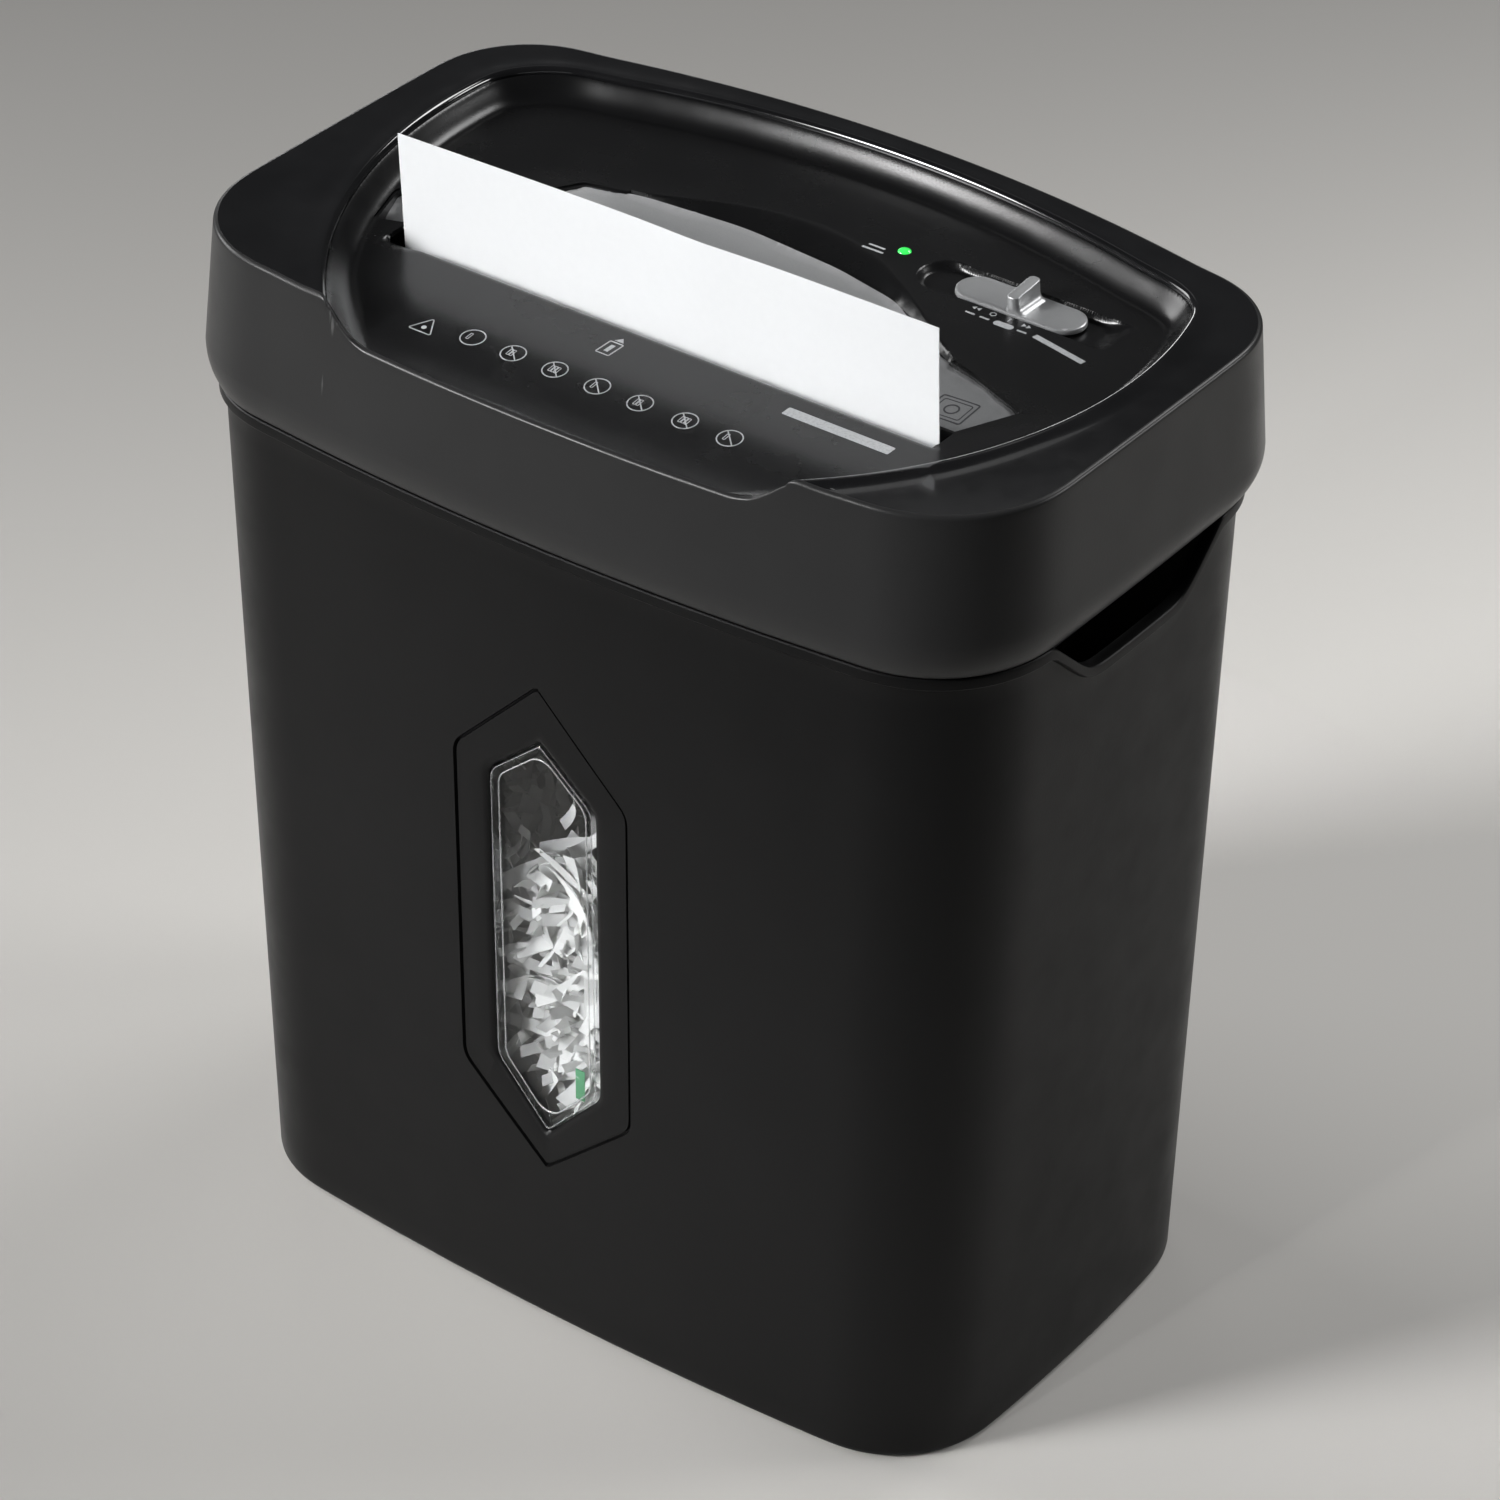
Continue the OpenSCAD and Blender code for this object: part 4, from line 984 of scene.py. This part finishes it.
def panel_height(points):
    """Height of the control panel's top at points in X and Y."""
    d = into_well(points)
    z = wall_height(d)
    x, y = points[:, 0], points[:, 1]
    # The floor falls a little towards the front edge
    z = z - FRONT_FALL * ease((-62 - y) / 34) * ease((d - 4) / 8)
    # Rolled front lip of the slot, wider at its left end
    roll = SLOT_ROLL + 6.5 * ease((-94 - x) / 13)
    away = np.maximum(SLOT_Y0 - y, 0)
    lip = np.maximum(roll - away, 0) / roll
    over = ease((x + SLOT_X + 0.6) / 2.2) * ease((SLOT_X + 0.6 - x) / 2.2)
    drop = SLOT_ROLL * (1 - np.sqrt(np.maximum(1 - lip ** 2, 0)))
    z = z - np.where(y < SLOT_Y0 + 0.1, over * drop, 0)
    # Hollow behind the guide, deepest along it
    gap = distance(points, GUIDE_PATH)
    rim = distance(points, CREASE, closed=False)
    hollow = inside(points, HOLLOW_PATH)
    share = np.clip(rim / (gap + rim + 1e-6), 0, 1)
    z = z - np.where(hollow, HOLLOW * share ** 1.6 * ease(rim / 3), 0)
    # Pocket of the slider: scooped at the left, running out at the right
    gap = distance(points, POCKET)
    scoop = ease((POCKET_X0 + 13 - x) / 12)
    inner = np.where(inside(points, POCKET), gap, -gap) + 1.2 * scoop
    depth = (PANEL_Z - POCKET_Z) * (1 - ease((x - POCKET_FADE - 3) / 12))
    t = np.clip(inner / (1.1 + 2.0 * scoop + 3.0 * ease((x - POCKET_FADE) / 8)), 0, 1)
    return z - depth * ((1 - scoop) * np.sqrt(1 - (1 - t) ** 2) + scoop * ease(t ** 0.8))


def top_surface(points):
    """Height of the head's top anywhere: rim outside the well, panel inside it."""
    d = into_well(points)
    rim, panel = rim_height(d), panel_height(points)
    t = ease((d + 0.5) / 1.2)
    return rim * (1 - t) + panel * t


class HeadWall:
    """The head's outer wall: widest at its belly, drawn in to the foot below and to the top above."""
    top = resample(TOP_OUTLINE, STATIONS)
    belly = resample(BELLY_OUTLINE, STATIONS)
    foot = resample(FOOT_OUTLINE, STATIONS)
    out = outward(top)

    @classmethod
    def at(cls, z, offset=0.0):
        z = np.broadcast_to(np.asarray(z, float), len(cls.top))
        rise = np.clip((z - BELLY_Z) / (RIM_Z - BELLY_Z), 0, 1)[:, None]
        under = (np.clip((BELLY_Z - z) / (BELLY_Z - SEAM_Z), 0, 1) ** 2.3)[:, None]
        path = cls.belly + (cls.top - cls.belly) * rise + (cls.foot - cls.belly) * under
        return np.column_stack([path + cls.out * offset, z])


def rolled_rows():
    """Rows of the rolled edge between the head's wall and its top."""
    edge = HeadWall.at(RIM_Z)[:, :2]
    rows = []
    for a in np.radians(np.linspace(0, 90, 8)):
        path = edge - HeadWall.out * ROLL_R * (1 - math.cos(a))
        z = top_surface(path) - ROLL_R * (1 - math.sin(a))
        rows.append(HeadWall.at(z, -ROLL_R * (1 - math.cos(a))))
    return rows


ROLL = rolled_rows()


def make_head_shell():
    """Head's wall, up to its rolled top edge and down again inside, with a hole for the cord."""
    start, last = ROLL[0][:, 2], ROLL[-1]
    foot = [(12, -3), (0.4, -3), (0, -2.6), (0, -0.9), (0.15, -0.4), (0.6, -0.08)]
    rows = [HeadWall.at(SEAM_Z + dz, offset) for dz, offset in foot]
    rows += [HeadWall.at(SEAM_Z + 1.2 + (BELLY_Z - SEAM_Z - 1.2) * s) for s in np.linspace(0, 1, 12)]
    rows += [HeadWall.at(BELLY_Z + (start - BELLY_Z) * s) for s in np.linspace(0, 1, 16)[1:-1]]
    rows += ROLL + [last - [0, 0, 0.4]]
    rows += [HeadWall.at(last[:, 2] - 2.5, -ROLL_R - 0.1), HeadWall.at(last[:, 2] - 3.5, -3)]
    rows += [HeadWall.at(SEAM_Z + 12 + (last[:, 2] - 3.5 - SEAM_Z - 12) * s, -3) for s in (0.66, 0.33)]
    shell = solid("head_wall", hoop(rows))
    carve(shell, rod(*CORD_HOLE, 48))
    finish_piece(shell, "head_plastic", "head", ["head_shell"], 40)


def rod(p, q, r, n=32):
    p, q = np.array(p, float), np.array(q, float)
    w = unit(q - p)
    u = unit(np.cross(w, [0, 0, 1] if abs(w[2]) < 0.9 else [0, 1, 0]))
    v = np.cross(w, u)
    a = np.radians(np.arange(0, 360, 360 / n))[:, None]
    ring = (np.cos(a) * u + np.sin(a) * v) * r
    return loft([p + ring, q + ring])


def one_run(ids):
    """Indices around a closed path, turned so that they start after their first gap."""
    gap = np.where(np.diff(ids) > 1)[0]
    return ids if len(gap) == 0 else np.roll(ids, -(gap[0] + 1))


def make_rim():
    """Gloss ring around the well, open at the front step, where it runs out in two points."""
    edge = ROLL[-1][:, :2]
    run = one_run(np.where(into_well(edge) < 0)[0])
    outer = edge[run]
    way = outer - HUB
    inner = HUB + unit(way) * reach(WELL, np.arctan2(way[:, 1], way[:, 0]) % (2 * math.pi))[:, None]
    rows = [flat(outer, RIM_Z - 2.6), flat(inner, LIP_Z - LIP_R - 1.9)]
    for share in 0.5 - 0.5 * np.cos(np.linspace(0, math.pi, 34)):
        path = inner + (outer - inner) * share
        rows.append(flat(path, rim_height(into_well(path))))
    rows[-1][:, 2] = ROLL[-1][run, 2] - 0.12
    n, last = len(outer), (len(rows) - 1) * len(outer)
    faces = grid_faces(len(rows), n, wrap=False)
    faces += [(last + c, last + c + 1, c + 1, c) for c in range(n - 1)]
    starts = [r * n for r in range(len(rows))]
    faces += [tuple(starts), tuple(i + n - 1 for i in starts)[::-1]]
    rim = solid("gloss_rim", (np.vstack(rows), faces))
    finish_piece(rim, "gloss_black", "head", ["top_rim"], 50)


def panel_cloud(edge, guide_hole, led_hole):
    """Points on the panel, close together along each of its edges and far apart between them."""
    cloud = [evenly(WELL - outward(WELL) * d, 1.6)
             for d in (0.5, 0.8, 1.2, 1.7, 2.3, 3.0, 3.8, 4.7, 5.7, 6.8, 8.0, 9.2, 10.6, 12.5)]
    for d in (0.4, 0.9, 1.5, 2.2, 3.1, 4.2, 5.8, 7.5, 9.5):
        path = edge - HeadWall.out * d
        cloud.append(evenly(path, 2.2) if d > 3 else path[::2])
    for dy in (0.25, 0.6, 1.0, 1.5, 2.1, 2.8, 3.4, 4.4, 5.6, 7, 8.5, 10):
        xs = np.concatenate([np.arange(-SLOT_X - 2, -92, 0.7), np.arange(-92, SLOT_X + 5, 2.0)])
        cloud.append(flat(xs, SLOT_Y0 - dy))
    cloud += [evenly(guide_hole + outward(guide_hole) * d, 2.0)
              for d in (0.3, 0.8, 1.5, 2.5, 4, 6, 8.5, 11.5, 15)]
    cloud += [evenly(POCKET - outward(POCKET) * d, 0.9) for d in
              (-1.9, -1.4, -0.9, -0.4, 0, 0.12, 0.3, 0.55, 0.9, 1.3, 1.8, 2.4, 3.1, 3.9, 4.8, 6, 7.4)]
    along = np.gradient(CREASE, axis=0)
    across = unit(np.stack([along[:, 1], -along[:, 0]], 1))
    cloud += [CREASE + across * d for d in (-1.5, -0.6, 0, 0.6, 1.5)]
    led = np.array([LED_X, LED_Y])
    cloud += [led + (led_hole - led) * (1 + d / 2.5) for d in (0.4, 0.9, 1.6, 3)]
    cloud += [lattice((x0, x1), (SLIDER_Y - 12, SLIDER_Y + 13), 0.9)
              for x0, x1 in ((POCKET_X0 - 6, POCKET_X0 + 18), (104, 128))]
    field = lattice((-150, 151), (-104, 104), 5.0)
    field[:, 0] += (field[:, 1] % 2) * 2.5
    return np.vstack(cloud + [field])


def lattice(x_span, y_span, step):
    xs, ys = np.meshgrid(np.arange(*x_span, step), np.arange(*y_span, step))
    return np.column_stack([xs.ravel(), ys.ravel()])


def make_panel():
    """Control panel: a triangulated height field whose points follow every edge on it."""
    edge = ROLL[-1][:, :2]
    in_well = into_well(edge) > 0.15
    n = len(edge)
    run = [i for i in range(-n // 2, n // 2) if in_well[i % n] and abs(i) < n // 2]
    front = edge[[i % n for i in run]]
    lip = WELL - outward(WELL) * 0.2
    keep = inside(lip, edge) & (distance(lip, edge) > 0.3)
    border = np.vstack([front, lip[one_run(np.where(keep)[0])]])
    slot = rounded_rect(-SLOT_X, SLOT_Y0, SLOT_X, SLOT_Y1 + 2, 0.6)
    wide = rounded([[-SLOT_X - 0.3, SLOT_Y1], *GUIDE[1:-1], [SLOT_X + 0.3, SLOT_Y1]], GUIDE_R)
    wide = wide + outward(wide) * 0.35
    led_hole = circle(LED_X, LED_Y, 2.5, 15)
    stem_slot = rounded_rect(SLIDER_X - 15.9, SLIDER_Y - 2.1, SLIDER_X + 9.1, SLIDER_Y + 2.1, 2)

    def height(points):
        z = panel_height(points)
        seam = distance(points, edge) < 0.05
        z[seam] = top_surface(points[seam])
        return z

    holes = [evenly(slot, 1.5), evenly(wide, 1.5), led_hole, evenly(stem_slot, 1.0)]
    panel = height_sheet("control_panel", border, holes, panel_cloud(edge, wide, led_hole), height)
    skirt_path = evenly(wide + outward(wide) * 0.02, 1.5)
    top = panel_height(skirt_path) - 0.5
    far = skirt_path + outward(skirt_path) * 1.2
    skirt = hoop([flat(skirt_path, top), flat(skirt_path, SKIRT_Z), flat(far, SKIRT_Z), flat(far, top)])
    opening = solid("opening_wall", skirt)
    merge(panel, opening)
    finish_piece(panel, "panel_plastic", "head", ["top_panel"], 48)


def height_sheet(name, border, holes, cloud, height):
    """Plate whose top follows a height function, triangulated through its borders and a cloud."""
    clear = inside(cloud, border) & (distance(cloud, border) > 0.25)
    for loop in holes:
        clear &= ~inside(cloud, loop) & (distance(cloud, loop) > 0.2)
    cloud = cloud[clear]
    _, first = np.unique(np.round(cloud / 0.3).astype(int), axis=0, return_index=True)
    loops = [border, *holes]
    points = np.vstack([*loops, cloud[np.sort(first)]])
    edges, base = [], 0
    for loop in loops:
        m = len(loop)
        edges += [(base + i, base + (i + 1) % m) for i in range(m)]
        base += m
    made = geometry.delaunay_2d_cdt([Vector(p) for p in points], edges, [], 0, 1e-4)
    verts = np.array([v[:] for v in made[0]])
    tris = np.array([f[:] for f in made[2]])
    centre = verts[tris].mean(1)
    good = inside(centre, border)
    for loop in holes:
        good &= ~inside(centre, loop)
    sheet = new_object(name, (flat(verts, height(verts)), [tuple(t) for t in tris[good]]))
    bm = bmesh.new()
    bm.from_mesh(sheet.data)
    bmesh.ops.delete(bm, geom=[v for v in bm.verts if not v.link_faces], context="VERTS")
    bmesh.ops.recalc_face_normals(bm, faces=bm.faces)
    if sum(f.normal.z for f in bm.faces) < 0:
        bmesh.ops.reverse_faces(bm, faces=bm.faces)
    bm.to_mesh(sheet.data)
    bm.free()
    below = sheet.modifiers.new("thickness", "SOLIDIFY")
    below.thickness = PANEL_T * MM
    below.offset = -1
    settle(sheet)
    return sheet


GUIDE_Z0 = 368.2
GUIDE_TOP_Y = 38.0


def guide_height(points):
    """The guide slopes up to the back, with a chamfered edge and a front that rolls into the slot."""
    x, y = points[:, 0], points[:, 1]
    z = GUIDE_Z0 + (PANEL_Z - GUIDE_Z0) * (y - SLOT_Y1) / (GUIDE_TOP_Y - SLOT_Y1)
    z = z - 0.02 * np.maximum(-80 - x + 0.45 * (31 - y), 0)
    z = z + 2.0 * (ease((x - 66) / 44) + 1.6 * ease((-92 - x) / 26)) * ease((y - SLOT_Y1) / 7)
    front = np.clip((SLOT_Y1 + 3.5 - y) / 3.5, 0, 1)
    edge = np.clip(1 - distance(points, GUIDE_PATH) / 0.7, 0, 1)
    return z - 2.5 * (1 - np.sqrt(1 - front ** 2)) - 0.5 * (1 - np.sqrt(1 - edge ** 2))


def make_guide():
    border = evenly(GUIDE_PATH, 1.0)
    cloud = [evenly(GUIDE_PATH - outward(GUIDE_PATH) * d, 1.2) for d in (0.3, 0.5, 0.7, 1.1, 2, 3.5)]
    xs = np.arange(-122, 119, 2.0)
    cloud += [flat(xs, SLOT_Y1 + dy) for dy in (0.3, 0.7, 1.2, 1.8, 2.6, 3.5, 4.6)]
    cloud.append(lattice((-128, 124), (-28, 38), 4.0))
    guide = height_sheet("paper_guide_plate", border, [], np.vstack(cloud), guide_height)
    finish_piece(guide, "silver_plastic", "head", ["paper_guide"], 40)


def make_slider():
    """Slider plate with a raised bevelled rim, a fin whose foot flares out, and a stem under it."""
    x, y, z, top = SLIDER_X, SLIDER_Y, PANEL_Z, SLIDER_HI[2]
    base = stadium(x - SLIDER_HALF[0], x + SLIDER_HALF[0], y, SLIDER_HALF[1])
    out = outward(base)
    profile = [(-2.0, -3.0), (-1.95, -0.6), (-1.8, -0.1), (-1.6, 0), (-0.7, -0.05), (-0.25, -0.2),
               (-0.05, -0.5), (0, -0.85), (-0.05, -1.15), (-0.13, -1.45), (-0.18, -1.7), (-0.2, -2.2),
               (-0.2, -4), (-0.2, -6)]
    plate = loft([flat(base + out * grow, z + dz) for dz, grow in profile])
    fin_x, fin_top = x + 0.8, top - z - 0.8

    def fin_ring(dz, left, right, half, r):
        path = rounded_rect(fin_x - left, y - half, fin_x + right, y + half, r, 0.3)
        return flat(in_steps(path, 120), z + dz)
    rings = [fin_ring(-0.6, 3.0, 6.4, 7.6, 2.0), fin_ring(-0.3, 2.8, 5.0, 7.6, 2.0),
             fin_ring(0.2, 2.6, 3.8, 7.5, 2.0), fin_ring(0.9, 2.4, 3.0, 7.5, 2.0),
             fin_ring(2.0, 2.3, 2.5, 7.5, 2.0), fin_ring(3.6, 2.25, 2.3, 7.5, 1.9),
             fin_ring(fin_top, 2.15, 2.15, 7.4, 1.9)]
    for a in np.radians(np.arange(18, 91, 18)):
        s = 0.5 * (1 - math.cos(a))
        rings.append(fin_ring(fin_top + 0.5 * math.sin(a), 2.15 - s, 2.15 - s, 7.4 - s, 1.6))
    rings.append(fin_ring(top - z - 0.42, 1.1, 1.1, 6.3, 1.0))
    # The fin's top rises towards the back
    for ring in rings:
        ring[:, 2] += (ring[:, 1] - y) * 0.09 * max(0, ring[0, 2] - z - 2) / 4
    slider = new_object("slider_plate", plate)
    merge(slider, new_object("fin", loft(rings)))
    clean(slider, weld=0.001)
    stem = rounded_box([x - 1.5, y - 1.6, POCKET_Z - 3.0], [x + 1.5, y + 1.6, z - 1], 0.3)
    merge(slider, new_object("stem", stem))
    finish_piece(slider, "satin_silver", "mode_slider", ["mode_slider"], 35)


def make_led():
    rim_z = PANEL_Z - 0.2
    rings = [flat(circle(LED_X, LED_Y, LED_R, 10), z) for z in (LED_LO[2], rim_z)]
    rings += [flat(circle(LED_X, LED_Y, LED_R * math.cos(t), 10), rim_z + math.sin(t))
              for t in np.radians(np.arange(15, 90, 15))]
    led = solid("led_dome", loft(rings))
    finish_piece(led, "led_green", "head", ["status_led"], 60)


SHEET_LEFT, SHEET_RIGHT = -107.5, 108.9
HALF_SHEET = 0.16


def make_sheet():
    """Paper in the slot: hardly bowed, its top edge rising a little to the right past a soft kink."""
    top_l, top_r = SHEET_HI[2] - 2.7, SHEET_HI[2] - 0.5
    cols, rows = 72, 24
    kink = 0.57
    u, v = np.meshgrid(np.linspace(0, 1, cols), np.linspace(0, 1, rows))
    upper = np.clip(v - 0.3, 0, 1)
    left, right = SHEET_LEFT - 1.9 * upper / 0.7, SHEET_RIGHT - 1.7 * upper / 0.7
    top = top_l + (top_r - top_l) * u - 0.5 * np.exp(-((u - kink) / 0.12) ** 2)
    x = left + (right - left) * u
    y = SHEET_Y + v ** 2 * (0.9 * np.sin(u * math.pi) - 0.35 * np.exp(-((u - kink) / 0.06) ** 2))
    z = SHEET_LO[2] + (top - SHEET_LO[2]) * v
    sides = [np.column_stack([x.ravel(), y.ravel() + half, z.ravel()])
             for half in (-HALF_SHEET, HALF_SHEET)]
    n = rows * cols
    points = np.vstack(sides)
    front = grid_faces(rows, cols, wrap=False)
    back = [tuple(i + n for i in f[::-1]) for f in front]
    rim = list(range(cols)) + [r * cols + cols - 1 for r in range(1, rows)]
    rim += [(rows - 1) * cols + c for c in range(cols - 2, -1, -1)]
    rim += [r * cols for r in range(rows - 2, 0, -1)]
    edge = [(i, i + n, j + n, j) for i, j in zip(rim, rim[1:] + rim[:1])]
    sheet = solid("paper_page", (points, front + back + edge), weld=0.0005)
    finish_piece(sheet, "white_paper", "paper_sheet", ["paper_sheet"], 40)


# ---- Printed marks: generic symbols only, as thin raised ink ----
INK = 0.07
SUNK = 0.1


def ink_line(path, width, surface, closed=False):
    """Line of ink that follows a surface."""
    path = np.array(path, float)
    if closed:
        along = unit(np.roll(path, -1, 0) - np.roll(path, 1, 0))
    else:
        pad = np.vstack([2 * path[0] - path[1], path, 2 * path[-1] - path[-2]])
        along = unit(pad[2:] - pad[:-2])
    side = np.stack([-along[:, 1], along[:, 0]], 1) * width / 2
    left, right = path + side, path - side
    section = ((left, INK), (right, INK), (right, -SUNK), (left, -SUNK))
    rows = [flat(p, surface(p) + dz) for p, dz in section]
    n = len(path)
    points = np.vstack(rows)
    faces = []
    for k in range(4):
        m = (k + 1) % 4
        for i in range(n if closed else n - 1):
            j = (i + 1) % n
            faces.append((k * n + i, m * n + i, m * n + j, k * n + j))
    if not closed:
        faces += [(0, 3 * n, 2 * n, n), (n - 1, 2 * n - 1, 3 * n - 1, 4 * n - 1)]
    return points, faces


def ink_patch(path, surface):
    path = np.array(path, float)
    return loft([flat(path, surface(path) - SUNK), flat(path, surface(path) + INK)])


def straight(p, q, step=1.0):
    n = max(2, int(math.dist(p, q) / step) + 1)
    return np.linspace(p, q, n)


def make_marks():
    """Generic symbols: a triangle, seven crossed rings, a cell, arrows and bars, and a plain badge."""
    marks = []

    def line(path, width=0.42, closed=False):
        marks.append(ink_line(path, width, panel_height, closed))

    def patch(path):
        marks.append(ink_patch(path, panel_height))

    def bar(x, y, half, width):
        line(straight([x - half, y], [x + half, y]), width)

    x, y = -63.6, -76.7
    line(rounded([[x - 4.6, y - 3.4], [x + 4.6, y - 3.4], [x, y + 4.4]], [0.5] * 3, 0.5), closed=True)
    patch(circle(x, y - 0.9, 0.9))
    y = -73.6
    for k, x in enumerate((-46.5, -29.9, -12.9, 4.2, 21.3, 39.1, 56.6)):
        line(circle(x, y, 4.2), closed=True)
        if k:
            line(straight([x + 2.9, y - 2.9], [x - 2.9, y + 2.9]))
        for j in range(1 + k % 3):
            left = x + j * 1.2
            line(rounded_rect(left - 1.9, y - 1.5, left - 1.0, y + 1.6, 0.2, 0.3), 0.28, True)
    x, y = -6.7, -53.3
    line(rounded_rect(x - 2.6, y - 4, x + 2.6, y + 4, 0.4, 0.5), 0.5, True)
    line(straight([x, y - 2.2], [x, y + 2.2]), 1.6)
    patch([[x - 1.8, y + 5], [x + 1.8, y + 5], [x, y + 7.4]])
    bar(22.5, 53.4, 3.2, 0.9)
    bar(22.5, 50.8, 4.2, 0.9)
    patch(rounded_rect(61, -52.6, 102, -48, 0.5, 2))
    y = 39.6
    for x, way in ((72, -1), (91.6, 1)):
        for k in (-0.9, 0.9):
            tail, tip = x + k - way * 0.7, x + k + way * 0.8
            patch([[tail, y - 1], [tip, y], [tail, y + 1]][::way])
    line(circle(78.5, y, 1.0), 0.35, True)
    line(straight([84.9, y - 1.1], [84.9, y + 1.1], 0.5), 0.4)
    patch(rounded_rect(81.4, 34.4, 88.8, 37.2, 1.3, 0.6))
    for x in (72, 77.6, 92.2):
        bar(x, 35.8, 1.8, 0.8)
    line(straight([97, 36.2], [119, 31.4]), 2.3)
    panel = new_object("panel_marks", join(*marks))
    finish_piece(panel, "pad_print", "head", (), 30)
    outer = rounded_rect(92.5, -20, 106.5, -8, 0.8, 1)
    inner = rounded_rect(94.1, -18.4, 104.9, -9.6, 0.8, 1)
    badge = [ink_line(path, width, guide_height, True)
             for path, width in ((outer, 0.6), (inner, 0.4), (circle(99.5, -14, 2.4), 0.6))]
    plain_badge = new_object("guide_badge", join(*badge))
    finish_piece(plain_badge, "badge_ink", "head", (), 30)


dress_cad_nodes()
make_bin()
make_pane()
make_shreds()
make_head_shell()
make_rim()
make_panel()
make_guide()
make_slider()
make_led()
make_sheet()
make_marks()


# ---- Stage: floor, lights and camera, in metres ----
FLOOR_HALF = 4.0
CAMERA_PLACE = (0.9104, -1.2248, 1.2369)
AZIMUTH, ELEVATION, CAMERA_ROLL = (math.radians(angle) for angle in (36.27, 34.40, 0.61))
LENS = 128.5
SENSOR = 36


def make_floor():
    r = FLOOR_HALF
    mesh = bpy.data.meshes.new("floor")
    mesh.from_pydata([(-r, -r, 0), (r, -r, 0), (r, r, 0), (-r, r, 0)], [], [(0, 1, 2, 3)])
    floor = add_object("floor", mesh)
    look = Look("floor_paint", (0.60, 0.585, 0.56), 0.7, specular=0.2)
    mesh.materials.append(look.mat)


def area_light(name, place, aim, size, power, spread):
    data = bpy.data.lights.new(name, "AREA")
    data.shape = "RECTANGLE"
    data.size, data.size_y = size
    data.energy = power
    data.spread = math.radians(spread)
    lamp = add_object(name, data)
    lamp.location = place
    lamp.rotation_euler = (Vector(aim) - Vector(place)).to_track_quat("-Z", "Y").to_euler()


def make_lights():
    world = bpy.data.worlds.new("studio")
    bpy.context.scene.world = world
    world.use_nodes = True
    sky = world.node_tree.nodes["Background"]
    sky.inputs["Color"].default_value = (0.95, 0.97, 1.0, 1)
    sky.inputs["Strength"].default_value = 0.07
    area_light("back_softbox", (0.45, 1.7, 1.8), (0.1, 0.1, 0.2), (0.9, 0.45), 7.5, 120)
    area_light("left_softbox", (-1.8, -0.35, 1.0), (-0.35, -0.35, 0), (1.0, 0.8), 5.0, 80)
    area_light("right_softbox", (1.55, 1.35, 1.05), (0.3, 0.3, 0.1), (0.7, 0.35), 4.4, 90)
    area_light("low_softbox", (-1.7, 1.6, 0.62), (0, 0.1, 0.35), (1.0, 0.3), 0.65, 60)
    area_light("front_softbox", (-1.1, -1.5, 1.25), (0.0, 0.0, 0.38), (0.8, 0.8), 3.4, 26)
    area_light("rim_softbox", (-0.96, 1.39, 1.62), (0.12, -0.05, 0.38), (0.5, 0.14), 0.05, 120)
    area_light("window_light", (-0.2, -1.4, 0.45), (0, -0.09, 0.14), (0.25, 0.25), 0.16, 12)


def make_camera():
    """Camera that looks down at the object from its front right, rolled a little."""
    level = math.cos(ELEVATION)
    back = Vector((math.sin(AZIMUTH) * level, -math.cos(AZIMUTH) * level, math.sin(ELEVATION)))
    right = (-back).cross(Vector((0, 0, 1))).normalized()
    up = right.cross(-back)
    c, s = math.cos(CAMERA_ROLL), math.sin(CAMERA_ROLL)
    right, up = c * right + s * up, c * up - s * right
    data = bpy.data.cameras.new("camera")
    data.lens = LENS
    data.sensor_width = SENSOR
    camera = add_object("camera", data)
    turn = Matrix((right, up, back)).transposed()
    camera.matrix_world = Matrix.Translation(CAMERA_PLACE) @ turn.to_4x4()
    bpy.context.scene.camera = camera


make_floor()
make_lights()
make_camera()
bpy.context.scene.view_settings.view_transform = "Standard"
